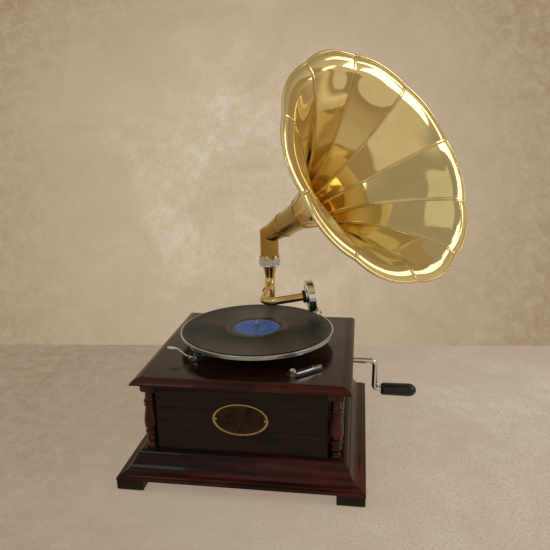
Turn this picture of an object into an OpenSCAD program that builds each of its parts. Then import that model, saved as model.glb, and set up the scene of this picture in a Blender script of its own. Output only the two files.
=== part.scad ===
// Horn gramophone: square moulded case, spring motor, ten-inch turntable, swinging tone arm
// and a petal horn on a mitred elbow. Millimetres. X is to the right, Y to the back, Z up.
// The origin is on the floor under the middle of the whole object's bounding box.

/* [Cabinet] */

// How far the plinth's bottom lip stands out past the case
plinth_over = 36; // [30:0.5:60]
// Height of the four corner feet
foot_h = 18; // [10:0.5:30]
// Side of each square foot
foot_w = 41; // [30:1:60]
// Outside width of the square case above the plinth
case_w = 296; // [280:1:360]
// Depth of the square corner rebate that holds each turned column
rebate = 20.5; // [17:0.5:26]
// Thickness of the case panels
panel_t = 12; // [8:0.5:16]
// Height of the deck above the floor
deck_z = 170; // [168:1:200]
// Thickness of the motor board
board_t = 12; // [10:0.5:15]
// How far the lid moulding stands out past the case
lid_over = 13.5; // [11:0.5:24]
// Long axis of the oval front plate
plate_w = 83; // [50:1:110]
// Short axis of the oval front plate
plate_h = 50; // [30:1:70]

/* [Turntable] */

// Outside radius of the turntable rim
platter_r = 127.5; // [115:0.5:135]
// Clear height between the deck and the rim
platter_gap = 19; // [17:0.5:26]
// Radius of the record
record_r = 125; // [100:0.5:126]
// Radius of the record's paper label
label_r = 38; // [30:0.5:50]
// Radius of the centre pin that the record sits on
pin_r = 3.6; // [3.2:0.05:4]
// Height of the pin's tip above the record
pin_h = 9; // [6:0.5:14]

/* [Crank] */

// Radius of the bent crank rod
rod_r = 4.6; // [3.5:0.1:4.8]
// Distance between the crank's axis and the grip's axis
crank_arm = 59; // [45:1:85]
// Lean of the crank from straight down, towards the back
crank_lean = 15; // [0:1:30]
// Length of the crank's grip without its ferrule
grip_len = 59; // [40:1:80]
// Largest radius of the grip
grip_r = 11; // [9:0.1:14]

/* [Tone arm] */

// Distance from the back of the case to the arm's pivot
pivot_back = 9; // [6:0.5:16]
// Radius of the ornate collar
collar_r = 20; // [18:0.5:24]
// Radius of the arm at its top
arm_top_r = 13.5; // [11:0.1:14]
// Radius of the arm at its lower bend
arm_end_r = 9; // [8:0.1:10]
// Radius of the gooseneck tube
goose_r = 6.8; // [5.5:0.1:7]
// Radius of the sound box
box_r = 28.5; // [24:0.5:34]
// Angle by which the gooseneck is lifted about the arm at rest
goose_roll = 7; // [4:0.5:10]

/* [Horn] */

// Height of the elbow's mitre above the deck
elbow_up = 156; // [140:1:180]
// Direction of the horn, from the front towards the right
horn_az = 49; // [0:1:80]
// Elevation of the horn's axis
horn_el = 28.3; // [20:0.1:40]
// Length of the horn from the elbow's mitre to the rim
horn_len = 300; // [260:1:360]
// Radius of the rim at the seams
mouth_r = 181.2; // [150:0.1:220]
// Radius of the crease between the bell and its lip
crease_r = 156.5; // [130:0.1:180]
// Radius of the horn's bore where it leaves the elbow
neck_r = 20.6; // [19:0.1:24]
// Exponent of the bell's flare
flare = 2.1; // [1.6:0.05:2.8]
// Number of petals
petals = 10; // [8:1:11]
// How far the middle of each petal stands out past the seams at the rim
scallop = 4.4; // [2:0.1:7]
// Thickness of the horn's sheet
sheet_t = 1.2; // [1:0.1:1.6]

/* [Hidden] */

fit = 0.05;                       // running clearance on a radius
joint_gap = 0.3;                  // clearance between faces that move past each other
kerf = 0.07;                      // half gap of a mitre
plinth_top = foot_h + 35;
plate_up = 56;                    // height of the oval plate's middle above the plinth
case_h = deck_z - board_t;
ch = case_w / 2;
lh = ch + lid_over;
ph = ch + plinth_over;
board_h = lh - 14.9;
frame_in = ph - 58;
notch_in = ch - rebate;
col_c = ch - 8.5;
col_top = deck_z - 25;
col_h = col_top - plinth_top;
pivot_y = ch + pivot_back;
elbow_z = deck_z + elbow_up;
mahogany = [0.16, 0.06, 0.045];
dark_wood = [0.09, 0.055, 0.045];
brass_c = [0.83, 0.64, 0.33];
dark_brass = [0.66, 0.45, 0.17];
chrome_c = [0.82, 0.83, 0.85];
steel_c = [0.55, 0.56, 0.58];
black_c = [0.03, 0.03, 0.032];

// turntable
spin = [0, 8];                    // spindle axis on the deck
rim_z = deck_z + platter_gap;
rim_h = 7;
plate_z = rim_z + 0.5;
mat_t = 2.5;
platter_t = 3;
record_z = plate_z + platter_t + mat_t;
record_t = 2;
record_top = record_z + record_t;
pin_step_z = record_top + 0.4;    // the pin's free end is turned down from here up
tip_r = pin_r - 0.2;

// crank
crank_y = 8;
crank_z = deck_z - 25.3;
crank_x = ch + 49;                // centre line of the crank's arm
bend_r = 8;

// motor
top_z = crank_z + 7.3;            // underside of the top plate
low_z = foot_h + 22;              // underside of the bottom plate
mod_g = 1.25;
mod_s = 1;                         // module of the worm wheel and of the winding gears
n_barrel = 60;
n_transfer = 48;
n_pinion = 12;
n_crown = 36;
n_worm = 30;
r_crown = mod_s * n_crown / 2;

barrel = [72, 8];
gap_bt = mod_g * (n_barrel + n_pinion) / 2;
gap_ts = mod_g * (n_transfer + n_pinion) / 2;
span = barrel[0] - spin[0];
transfer_dx = (gap_ts * gap_ts - gap_bt * gap_bt + span * span) / (2 * span);
transfer_dy = sqrt(gap_ts * gap_ts - transfer_dx * transfer_dx);
transfer = [spin[0] + transfer_dx, spin[1] + transfer_dy];
gear_z = foot_h + 48;             // underside of the transfer gear
drum_r = 33;
drum_z = gear_z + 18;
drum_h = 34;
worm_z = drum_z + 19.5;
worm_n = 4;
worm_x = spin[0] - mod_s * n_worm / 2 - 4.6;
plate_lo = [-52, -104];
plate_hi = [122, 72];
pillar_at = [[-46, 62], [-46, -92], [116, 62], [116, -60]];
hang_at = [[-46, -30], [-20, 66], [92, 64], [60, -98]];
arm_post = [30, -97];
speed_at = [93, -107];
speed_a = 42;
speed_post = [-23.5, 2.3];
cam_at = speed_at + [speed_post[0] * cos(speed_a) - speed_post[1] * sin(speed_a),
    speed_post[0] * sin(speed_a) + speed_post[1] * cos(speed_a)];
cam_r = 6;
cam_e = 2.5;

// arm and collar
collar_z = deck_z + 97;
collar_h = 17;
arm_z = deck_z + 54.5;
arm_bend = 20;
ring_y = pivot_y - 29.5;
goose_bend = 24;
goose_turn = 104;
box_at = [85.2, 72, 0];           // sound-box centre in the gooseneck's frame
trail = 25;                       // slope of the needle in the sound box's plane
stylus_x = 7;
hub_len = 14;
goose_run = (box_at[0] - goose_bend * (1 - cos(goose_turn))) / sin(goose_turn);
bend_y = box_at[1] + goose_bend * sin(goose_turn) + goose_run * cos(goose_turn);
goose_end = goose_run - hub_len;

// horn
band_t = 50;
petal_t = 112;
lip_slope = 0.231;
crease_t = horn_len - lip_slope * (mouth_r - crease_r);
lip_a = atan(1 / lip_slope);
seam_w = 4;
seam_h = 0.7;
slit = 0.1;
half = 180 / petals;
phase = 9.9;
bead_r = 2.2;
mid_r = mouth_r + scallop;
lobe_d = (mid_r * mid_r - mouth_r * mouth_r) / (2 * (mid_r - mouth_r * cos(half)));
lobe_r = mid_r - lobe_d;
lobe_a = asin(mouth_r * sin(half) / lobe_r);
bead_t = crease_t + lip_slope * (mouth_r + scallop / 2 - crease_r) - sheet_t / 2;
bell_n = 14;
elbow_r = 17.3;
elbow_t = 1.4;

// where the object's middle lies
horn_nx = cos(horn_el) * sin(horn_az);
right_x = horn_len * horn_nx + (mid_r + bead_r) * sqrt(1 - horn_nx * horn_nx);
back_y = max(ph, ch + 33);
org = [(right_x - ph) / 2, (back_y - ph) / 2, 0];

function rx(a, v) = [v[0], v[1] * cos(a) - v[2] * sin(a), v[1] * sin(a) + v[2] * cos(a)];
function ry(a, v) = [v[0] * cos(a) + v[2] * sin(a), v[1], v[2] * cos(a) - v[0] * sin(a)];
function rz(a, v) = [v[0] * cos(a) - v[1] * sin(a), v[0] * sin(a) + v[1] * cos(a), v[2]];
function rev(p) = [for (i = [len(p) - 1:-1:0]) p[i]];

// a point of the sound box's frame, seen in the cabinet's frame
function box_point(p) = [0, 0, arm_z] + ry(-goose_roll, box_at + rz(goose_turn - 90, rx(-trail, p)));
stylus_top = box_point([stylus_x, 0, 0]);
stylus_drop = stylus_top[2] - box_point([stylus_x, 0, -1])[2];
needle_len = (stylus_top[2] - record_top - 0.15) / stylus_drop;

// the bell's curve: radius and slope at the distance t along its axis
function hr(t) = neck_r + (crease_r - neck_r) * pow((t - band_t) / (crease_t - band_t), flare);
function hb(t) = atan((crease_r - neck_r) * flare / (crease_t - band_t)
    * pow(max(0.0001, (t - band_t) / (crease_t - band_t)), flare - 1));
function hp(t, o) = [hr(t) + o * cos(hb(t)), t - o * sin(hb(t))];
// the corner at the crease and the end of the lip, at the offset o
function crease_p(o) = let (m = (hb(crease_t) + lip_a) / 2, k = o / cos((lip_a - hb(crease_t)) / 2))
    [crease_r + k * cos(m), crease_t - k * sin(m)];
function lip_p(o, r) = [r + o * cos(lip_a), crease_t + lip_slope * (r - crease_r) - o * sin(lip_a)];
function bell_line(o, r) = concat([for (i = [0:bell_n - 1])
    hp(petal_t + (crease_t - petal_t) * i / bell_n, o)], [crease_p(o), lip_p(o, r)]);
function bell_shape(a, b, r) = concat(bell_line(a, r), rev(bell_line(b, r)));

// involute helpers for the motor's gears
function inv(a) = tan(a) * 180 / PI - a;
function tooth_half(r, rp, n) = let (rb = rp * cos(20), a = r > rb ? acos(rb / r) : 0)
    (0.45 * 180 / n) + inv(20) - inv(a);
function tooth_radii(rp, m) = [rp - m, max(rp - m + 0.05, rp * cos(20)), rp, rp + 0.75 * m];
function gear_points(m, n) = let (rp = m * n / 2, rr = tooth_radii(rp, m))
    [for (i = [0:n - 1]) for (s = [-1, 1]) for (j = [0:3])
        let (r = rr[s < 0 ? j : 3 - j], a = i * 360 / n + s * tooth_half(r, rp, n))
            [r * cos(a), r * sin(a)]];

module place(c) {
    color(c) translate([-org[0], -org[1], 0]) children();
}

module at_pivot(z) {
    translate([0, pivot_y, z]) children();
}

module at_goose() {
    translate([0, 0, arm_z]) rotate([0, -goose_roll, 0]) children();
}

module at_box() {
    at_goose() translate(box_at) rotate([0, 0, goose_turn - 90]) rotate([-trail, 0, 0]) children();
}

module at_horn() {
    at_pivot(elbow_z) rotate([90 - horn_el, 0, horn_az]) children();
}

module at_brake() {
    translate([spin[0], spin[1], deck_z]) rotate([0, 0, 223.7]) children();
}

module at_speed() {
    translate([speed_at[0], speed_at[1], deck_z]) rotate([0, 0, speed_a]) children();
}

module at_crank() {
    translate([0, crank_y, crank_z]) rotate([crank_lean, 0, 0]) children();
}

// a cylinder along X
module xcyl(x0, x1, r, r2 = -1) {
    translate([x0, 0, 0]) rotate([0, 90, 0]) cylinder(h = x1 - x0, r1 = r, r2 = r2 < 0 ? r : r2, $fn = 64);
}

// a cylinder along Y
module ycyl(y0, y1, r, r2 = -1) {
    translate([0, y1, 0]) rotate([90, 0, 0]) cylinder(h = y1 - y0, r1 = r2 < 0 ? r : r2, r2 = r, $fn = 64);
}

module zcyl(z0, z1, r, r2 = -1) {
    translate([0, 0, z0]) cylinder(h = z1 - z0, r1 = r, r2 = r2 < 0 ? r : r2, $fn = 64);
}

// a quarter or other part of a ring of round rod
module bow(r_path, r, a) {
    rotate_extrude(angle = a, $fn = 96) translate([r_path, 0]) circle(r, $fn = 48);
}

module ring_x(x0, x1, r0, r1) {
    difference() {
        xcyl(x0, x1, r1);
        xcyl(x0 - 1, x1 + 1, r0);
    }
}

module gear(m, n, h, bore) {
    difference() {
        linear_extrude(h) polygon(gear_points(m, n));
        zcyl(-1, h + 1, bore);
    }
}

// four lengths of moulding, mitred at the corners, from a profile of [half width, height]
module mitred_frame(profile, reach) {
    for (k = [0:3]) rotate([0, 0, 90 * k]) intersection() {
        rotate([90, 0, 90]) translate([0, 0, -reach]) linear_extrude(2 * reach)
            polygon([for (p = profile) [-p[0], p[1]]]);
        linear_extrude(deck_z + 40) polygon([[0, -kerf], [reach, -reach - kerf], [-reach, -reach - kerf]]);
    }
}

module corners() {
    for (x = [-1, 1]) for (y = [-1, 1]) translate([x * col_c, y * col_c, 0]) children();
}

module slotted(r, h) {
    difference() {
        zcyl(0, h, r, r * 0.8);
        translate([-r - 1, -r * 0.13, h * 0.55]) cube([2 * r + 2, r * 0.26, h]);
    }
}

// cabinet

module foot_face(w, h, r) {
    difference() {
        square([w, h]);
        difference() {
            square([r, r]);
            translate([r, r]) circle(r, $fn = 48);
        }
        translate([w - r, 0]) difference() {
            square([r + 1, r]);
            translate([0, r]) circle(r, $fn = 48);
        }
    }
}

module feet() {
    at = ph - foot_w - 0.6;
    place(dark_wood) for (k = [0:3]) rotate([0, 0, 90 * k]) translate([at, at, 0])
        intersection() {
            translate([0, foot_w, 0]) rotate([90, 0, 0]) linear_extrude(foot_w)
                foot_face(foot_w, foot_h, 5);
            rotate([90, 0, 90]) linear_extrude(foot_w) foot_face(foot_w, foot_h, 5);
        }
}

module plinth_moulding() {
    top = plinth_top;
    w = ch + 3.5;
    low = [ph - 5.8, foot_h + 7.4];
    high = [w + 7.4, top - 7.4];
    lip = [[frame_in, foot_h], [ph, foot_h], [ph, foot_h + 2.8], [ph - 0.7, foot_h + 4],
        [ph - 2, foot_h + 4.6], [ph - 4.2, foot_h + 4.8], [ph - 4.9, foot_h + 5.6], [ph - 5.1, foot_h + 7]];
    cove = [for (a = [0:7.5:60])
        [low[0] + (high[0] - low[0]) * sin(a) / sin(60), low[1] + (high[1] - low[1]) * (1 - cos(a)) * 2]];
    step = [[w + 6.6, top - 7], [w + 6.2, top - 6]];
    bead = [for (a = [0:15:90]) [w + 0.4 + 5.4 * cos(a), top - 5.8 + 5.4 * sin(a)]];
    place(mahogany) mitred_frame(concat(lip, cove, step, bead, [[w, top], [frame_in, top]]), ph + 2);
}

module bottom_board() {
    place(dark_wood) translate([-frame_in, -frame_in, foot_h + 2]) cube([2 * frame_in, 2 * frame_in, 8]);
}

module case_panels() {
    place(dark_wood) for (k = [0:3]) difference() {
        rotate([0, 0, 90 * k]) translate([-notch_in, -ch, plinth_top])
            cube([2 * notch_in, panel_t, case_h - plinth_top]);
        if (k == 1) translate([0, crank_y, crank_z]) xcyl(ch - panel_t - 1, ch + 1, 6.5 + fit);
        if (k == 2) for (x = [-14, 14]) for (z = [96, 132]) translate([x, 0, z])
            ycyl(ch - 10, ch + 1, 2 + fit);
    }
}

// an upright of L section in each corner, with the square block that caps the column
module corner_posts() {
    place(dark_wood) for (k = [0:3]) rotate([0, 0, 90 * k]) {
        translate([0, 0, plinth_top]) linear_extrude(case_h - plinth_top) difference() {
            translate([notch_in - 14, notch_in - 14]) square(ch - panel_t - notch_in + 14);
            translate([notch_in, notch_in]) square(rebate);
        }
        translate([notch_in, notch_in, col_top]) difference() {
            cube([ch + 2.1 - notch_in, ch + 2.1 - notch_in, case_h - col_top]);
            translate([0, ch + 3 - notch_in, 0]) xcyl(-1, 40, 2.6);
            translate([ch + 3 - notch_in, 0, 0]) ycyl(-1, 40, 2.6);
        }
    }
}

// half profile of a turned column, from its base up
module column_shape() {
    union() {
        translate([0, 0]) square([9.2, 2.6]);
        translate([0, 2]) polygon([[0, 0], [7.2, 0], [6.2, 3], [6.2, 7.6], [7.4, 10.5], [0, 10.5]]);
        translate([6.6, 14.9]) circle(2.4, $fn = 32);
        translate([0, 12]) square([7.2, 9.5]);
        translate([7.4, 25.4]) circle(2.3, $fn = 32);
        translate([0, 21]) square([7.4, 8.5]);
        polygon(concat([[0, 29]], [for (i = [0:14]) let (z = 30 + 35 * i / 14)
            [6.6 + 4 * pow(sin(min(180, 180 * pow((z - 27) / 44, 0.62))), 1.3), z]], [[0, 65]]));
        translate([0, 64]) square([7, 4]);
        translate([7.2, 69.2]) circle(2, $fn = 32);
        translate([7.4, 75.2]) circle(2.2, $fn = 32);
        translate([0, 66]) square([7.4, 13]);
        polygon([[0, 78], [8, 78], [7.2, 81], [6.9, col_h - 3], [7.8, col_h], [0, col_h]]);
    }
}

module corner_columns() {
    place(mahogany) corners() translate([0, 0, plinth_top]) rotate_extrude($fn = 64) intersection() {
        column_shape();
        square([20, col_h]);
    }
}

module motor_board() {
    place(dark_wood) difference() {
        translate([-board_h, -board_h, case_h]) cube([2 * board_h, 2 * board_h, board_t]);
        translate([spin[0], spin[1], 0]) zcyl(case_h - 1, deck_z + 1, 12);
        translate([cam_at[0], cam_at[1], 0]) zcyl(case_h - 1, deck_z + 1, 3.2);
        for (p = hang_at) translate([p[0], p[1], 0]) zcyl(case_h - 1, case_h + 7, 1.7 + fit);
        at_brake() for (p = brake_screws()) translate([p[0], p[1], 0]) zcyl(-7, 1, 1.2 + fit);
        at_speed() for (p = speed_screws()) translate([p[0], p[1], 0]) zcyl(-7, 1, 1.2 + fit);
    }
}

module lid_moulding() {
    curve = [for (a = [0:9:90]) [board_h + 14.9 * cos(a) - 1.1 * sin(2 * a), deck_z - 7.6 + 7.6 * sin(a)]];
    place(mahogany) mitred_frame(concat(
        [[board_h, deck_z - 10], [lh - 1.6, deck_z - 10], [lh, deck_z - 9.2]], curve), lh + 2);
}

function oval(a, b, n) = [for (i = [0:n - 1]) [a * cos(360 * i / n), b * sin(360 * i / n)]];

module front_plate() {
    z = plinth_top + plate_up;
    place([0.12, 0.075, 0.05]) translate([0, -ch, z]) rotate([90, 0, 0]) difference() {
        union() {
            linear_extrude(1.2) polygon(oval(plate_w / 2, plate_h / 2, 72));
            linear_extrude(1.9) difference() {
                polygon(oval(plate_w / 2, plate_h / 2, 72));
                polygon(oval(plate_w / 2 - 1.8, plate_h / 2 - 1.8, 72));
            }
        }
        for (s = [-1, 1]) translate([s * (plate_w / 2 - 5), 0, -1])
            cylinder(h = 4, r = 0.8 + fit, $fn = 32);
    }
}

module wood_screw(shank, r, h) {
    zcyl(-shank, 0.5, 1.2);
    slotted(r, h);
}

module screws() {
    place(steel_c) {
        for (p = hang_at) at_xy(p) {
            zcyl(top_z - 0.5, case_h + 6, 1.7);
            translate([0, 0, top_z]) rotate([180, 0, 0]) slotted(4, 2.4);
        }
        for (x = [-14, 14]) for (z = [96, 132]) translate([x, ch + 5, z]) {
            ycyl(-14, 0.5, 2);
            rotate([-90, 0, 0]) slotted(4, 2.2);
        }
        for (s = [-1, 1]) translate([s * (plate_w / 2 - 5), -ch, plinth_top + plate_up]) rotate([90, 0, 0]) {
            zcyl(0, 1.5, 0.8);
            translate([0, 0, 1.2]) slotted(1.7, 0.9);
        }
        at_brake() for (p = brake_screws()) translate([p[0], p[1], 2]) wood_screw(8, 2.6, 1);
        at_speed() for (p = speed_screws()) translate([p[0], p[1], 1.6]) wood_screw(7.6, 2.8, 2);
    }
}

module crank_bush() {
    place(brass_c) translate([0, crank_y, crank_z]) difference() {
        union() {
            xcyl(ch - panel_t, ch, 6.5);
            xcyl(ch, ch + 2, 13);
            xcyl(ch + 2, ch + 4.5, 7, 6);
        }
        xcyl(ch - panel_t - 1, ch + 6, rod_r + fit);
    }
}

// spring motor

module plate_shape(z) {
    translate([plate_lo[0], plate_lo[1], z])
        cube([plate_hi[0] - plate_lo[0], plate_hi[1] - plate_lo[1], 3]);
}

module at_xy(p) {
    translate([p[0], p[1], 0]) children();
}

click_post = [-4, -26];

module motor_top_plate() {
    bx = barrel[0] + r_crown + 9;
    place(steel_c) difference() {
        union() {
            plate_shape(top_z);
            translate([bx, crank_y - 9, crank_z - 9]) cube([8, 18, top_z - crank_z + 9.5]);
            at_governor() for (y = [-74, 22]) translate([-6.5, y, -6.5]) cube([13, 3, top_z - worm_z + 7]);
            at_xy(arm_post) {
                zcyl(top_z - 13.6, top_z + 1, 2.5);
                zcyl(top_z - 14.6, top_z - 13.3, 4);
            }
            at_xy(barrel) at_xy(click_post) {
                zcyl(drum_z + drum_h + 2.8, top_z + 1, 2);
                zcyl(drum_z + drum_h + 1.8, drum_z + drum_h + 3, 3.4);
            }
        }
        at_xy(spin) zcyl(top_z - 1, top_z + 4, 5 + fit);
        at_xy(barrel) zcyl(top_z - 1, top_z + 4, 4 + fit);
        at_xy(transfer) zcyl(top_z - 1, top_z + 4, 3 + fit);
        for (p = hang_at) at_xy(p) zcyl(top_z - 1, top_z + 4, 1.7 + fit);
        translate([0, crank_y, crank_z]) xcyl(bx - 1, bx + 9, 5.5 + fit);
        at_governor() for (y = [-74, 22]) ycyl(y - 1, y + 4, 2.2 + fit);
    }
}

module motor_low_plate() {
    place(steel_c) difference() {
        plate_shape(low_z);
        at_xy(spin) zcyl(low_z - 1, low_z + 4, 2.5 + fit);
        at_xy(barrel) zcyl(low_z - 1, low_z + 4, 2.5 + fit);
        at_xy(transfer) zcyl(low_z - 1, low_z + 4, 2 + fit);
    }
}

module motor_pillars() {
    place(steel_c) for (p = pillar_at) at_xy(p) zcyl(low_z + 3, top_z, 4);
}

module motor_mounts() {
    place(black_c) for (p = hang_at) at_xy(p) difference() {
        zcyl(top_z + 3, case_h, 6);
        zcyl(top_z + 2, case_h + 1, 1.7 + fit);
    }
}

module spring_barrel() {
    place(brass_c) at_xy(barrel) difference() {
        union() {
            translate([0, 0, drum_z - 6]) rotate([0, 0, barrel_phase()]) linear_extrude(6.5)
                polygon(gear_points(mod_g, n_barrel));
            zcyl(drum_z, drum_z + drum_h - 2, drum_r);
        }
        zcyl(drum_z - 7, drum_z + drum_h, 4 + fit);
        zcyl(drum_z + 2, drum_z + drum_h, drum_r - 2);
    }
}

// teeth are set so that a tooth of one wheel stands in a gap of the next on the line of centres
function to_transfer() = atan2(transfer[1] - barrel[1], transfer[0] - barrel[0]);
function barrel_phase() = to_transfer() + 180 / n_barrel;
function transfer_phase() = to_transfer() + 180;
function to_spin() = atan2(spin[1] - transfer[1], spin[0] - transfer[0]);
function big_phase() = to_spin() + 180 / n_transfer;

module barrel_lid() {
    place(brass_c) at_xy(barrel) difference() {
        zcyl(drum_z + drum_h - 2, drum_z + drum_h, drum_r);
        zcyl(drum_z, drum_z + drum_h + 1, 4 + fit);
    }
}

module mainspring() {
    turns = 6;
    n = 20 * turns;
    r0 = 8.6;
    t = 0.5;
    r1 = drum_r - 2.3 - t;
    arm = [for (i = [0:n]) let (a = 360 * turns * i / n, r = r0 + (r1 - r0) * i / n)
        [(r + t) * cos(a), (r + t) * sin(a)]];
    back = [for (i = [n:-1:0]) let (a = 360 * turns * i / n, r = r0 + (r1 - r0) * i / n)
        [(r - t) * cos(a), (r - t) * sin(a)]];
    place([0.3, 0.34, 0.42]) at_xy(barrel) translate([0, 0, drum_z + 2.3]) linear_extrude(drum_h - 4.6)
        polygon(concat(arm, back));
}

function ratchet_shape(n, r) = [for (i = [0:n - 1]) for (s = [0, 1])
    let (a = 360 * i / n + s * 360 / n * 0.12, q = s ? r : r * 0.84) [q * cos(a), q * sin(a)]];

module barrel_arbor() {
    place(steel_c) at_xy(barrel) {
        zcyl(low_z + 0.6, low_z + 3.2, 2.5);
        zcyl(low_z + 3.2, top_z + 2.5, 4);
        zcyl(drum_z + 3, drum_z + drum_h - 3, 7.8);
        translate([0, 0, drum_z + drum_h + 3]) linear_extrude(5) polygon(ratchet_shape(20, 15));
    }
}

function crown_top() = crank_z - mod_s * n_pinion / 2;

module crown_wheel() {
    zt = crown_top();
    place(brass_c) at_xy(barrel) difference() {
        union() {
            zcyl(zt - 4.4, zt - 1.05, r_crown + 2.4);
            zcyl(zt - 8, zt - 4.4, 9);
            for (i = [0:n_crown - 1]) rotate([0, 0, 360 * (i + 0.5) / n_crown])
                translate([r_crown - 2, 0, zt - 1.1]) rotate([90, 0, 90]) linear_extrude(4)
                    polygon([[-0.8, 0], [0.8, 0], [0.64, 1.05], [0.4, 1.75], [-0.4, 1.75], [-0.64, 1.05]]);
        }
        zcyl(zt - 9, zt + 4, 4 + fit);
    }
}

module click() {
    r = 15;
    place(steel_c) at_xy(barrel) translate([0, 0, drum_z + drum_h + 3.3]) difference() {
        linear_extrude(4) union() {
            translate(click_post) circle(4, $fn = 48);
            polygon([[-5, -30], [6, -r - 1.4], [1, -r - 0.5], [-6.5, -22.9]]);
        }
        at_xy(click_post) zcyl(-1, 5, 2 + fit);
    }
}

module winding_shaft() {
    x = barrel[0] + r_crown;
    place(steel_c) translate([0, crank_y, crank_z]) difference() {
        union() {
            xcyl(x - 4, x + 5, 3.5);
            translate([x - 2, 0, 0]) rotate([0, 90, 0]) linear_extrude(4)
                polygon(gear_points(mod_s, n_pinion));
            xcyl(x + 3, x + 24, 5.5);
            xcyl(x + 23, ch - panel_t - 2, rod_r + 1.7);
        }
        xcyl(x + 25, ch, rod_r + fit);
    }
}

module turntable_spindle() {
    place(steel_c) at_xy(spin) {
        zcyl(low_z + 0.6, low_z + 3.2, 2.5);
        zcyl(low_z + 3.2, plate_z + platter_t - 1, 5);
        translate([0, 0, gear_z - 1.5]) rotate([0, 0, to_spin() + 180]) linear_extrude(8)
            polygon(gear_points(mod_g, n_pinion));
        zcyl(deck_z + 4, deck_z + 6, 9);
        zcyl(plate_z, pin_step_z, pin_r);
        zcyl(pin_step_z, record_top + pin_h - 2, tip_r);
        zcyl(record_top + pin_h - 2, record_top + pin_h, tip_r, tip_r - 1.6);
    }
}

module transfer_gear() {
    place(brass_c) at_xy(transfer) {
        zcyl(low_z + 0.6, low_z + 3.2, 2);
        zcyl(low_z + 3.2, top_z + 2.5, 3);
        translate([0, 0, gear_z]) rotate([0, 0, big_phase()]) linear_extrude(5)
            polygon(gear_points(mod_g, n_transfer));
        translate([0, 0, gear_z + 5]) zcyl(0, 5, 5.5);
        translate([0, 0, gear_z + 10]) rotate([0, 0, transfer_phase()]) linear_extrude(10)
            polygon(gear_points(mod_g, n_pinion));
    }
}

module worm_wheel() {
    place([0.45, 0.3, 0.16]) at_xy(spin) difference() {
        union() {
            translate([0, 0, worm_z - 1.5]) rotate([0, 0, 180]) linear_extrude(3)
                polygon(gear_points(mod_s, n_worm));
            zcyl(worm_z - 5, worm_z + 5, 8.5);
        }
        zcyl(worm_z - 6, worm_z + 6, 5 + fit);
    }
}

module at_governor() {
    translate([worm_x, 0, worm_z]) children();
}

// the shaft with its four-start worm, its discs and its friction plate
module governor_shaft() {
    e = 0.8;
    pitch = PI * mod_s;
    place(steel_c) at_governor() {
        ycyl(-78, 28, 2.2);
        translate([0, spin[1] + worm_n * pitch / 2, 0]) rotate([90, 0, 0])
            linear_extrude(height = worm_n * pitch, twist = -360 * worm_n, slices = 14 * worm_n)
                rotate([0, 0, 180 - 180 * worm_n]) translate([e, 0]) circle(4.3, $fn = 16);
        ycyl(-14, -8, 6);
        ycyl(-57.6, -50, 6);
        ycyl(-60, -57.5, 16);
    }
}

// three bowed leaf springs, each carrying a weight
module governor_weights() {
    place(brass_c) at_governor() for (k = [0:2]) rotate([0, 120 * k, 0]) {
        translate([0, 0, -2.5]) linear_extrude(5)
            polygon([[6, -9], [6, -13], [11, -22], [13, -30], [13, -35], [11, -43], [6, -52], [6, -56],
                [6.6, -56], [6.6, -52.2], [11.6, -43.1], [13.6, -35.1], [13.6, -29.9], [11.6, -21.9],
                [6.6, -12.8], [6.6, -9]]);
        translate([0, -32.5, 0]) xcyl(13.6, 19, 4.2);
    }
}

// a bell crank: the cam turns it, and its finger stands off the governor's disc
module governor_arm() {
    fx = worm_x - 11.5;
    tail = cam_at - arm_post;
    side = asin((cam_r + 3.2) / norm(tail));
    finger = [fx - arm_post[0], -51.6 - arm_post[1]];
    place(steel_c) difference() {
        union() {
            at_xy(arm_post) zcyl(top_z - 13, top_z - 9, 5);
            translate([arm_post[0], arm_post[1], top_z - 12.5]) {
                rotate([0, 0, atan2(finger[1], finger[0])]) translate([3.2, -2.5, 0])
                    cube([norm(finger) - 0.2, 5, 3]);
                rotate([0, 0, atan2(tail[1], tail[0]) + side]) translate([3.2, -2.5, 0])
                    cube([norm(tail) + 1, 5, 3]);
            }
            translate([fx, -51.6, 0]) zcyl(worm_z - 3.4, top_z - 10.8, 2.3);
            translate([fx, 0, worm_z]) ycyl(-56.7, -52, 1.8);
        }
        at_xy(arm_post) zcyl(top_z - 14, top_z, 2.5 + fit);
    }
}

// turntable

module platter() {
    place([0.78, 0.79, 0.8]) at_xy(spin) rotate_extrude($fn = 180) difference() {
        union() {
            translate([5 + fit, plate_z]) square([platter_r - 7, platter_t]);
            translate([platter_r - 2.3, rim_z + 1.1]) square([2.3, rim_h - 2.2]);
            translate([platter_r - 2.3, rim_z]) square([1.2, rim_h]);
            translate([platter_r - 1.1, rim_z + 1.1]) circle(1.1, $fn = 32);
            translate([platter_r - 1.1, rim_z + rim_h - 1.1]) circle(1.1, $fn = 32);
            translate([platter_r - 19, deck_z + 14]) square([2.5, plate_z - deck_z - 13]);
            polygon([[5 + fit, deck_z + 6], [12, deck_z + 6], [14, deck_z + 9], [20, plate_z + 0.5],
                [5 + fit, plate_z + 0.5]]);
        }
        translate([0, plate_z + platter_t]) square([platter_r - 2.3, 6]);
    }
}

module platter_mat() {
    place([0.08, 0.16, 0.1]) at_xy(spin) difference() {
        zcyl(plate_z + platter_t, plate_z + platter_t + mat_t, record_r - 1.5);
        zcyl(plate_z, record_z + 1, 8);
    }
}

module record() {
    place([0.045, 0.048, 0.04]) at_xy(spin) rotate_extrude($fn = 180) difference() {
        union() {
            translate([pin_r + fit, record_z]) square([record_r - pin_r - fit - 1, record_t]);
            translate([record_r - 1, record_z + 1]) circle(1, $fn = 32);
        }
        translate([0, record_top - 0.3]) square([label_r, 1]);
        for (i = [0:2]) translate([label_r + 6 + i * 3.2, record_top - 0.25]) square([1.1, 1]);
        for (i = [0:6]) translate([record_r - 6 - i * 9.6, record_top - 0.2]) square([0.5, 1]);
    }
}

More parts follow.
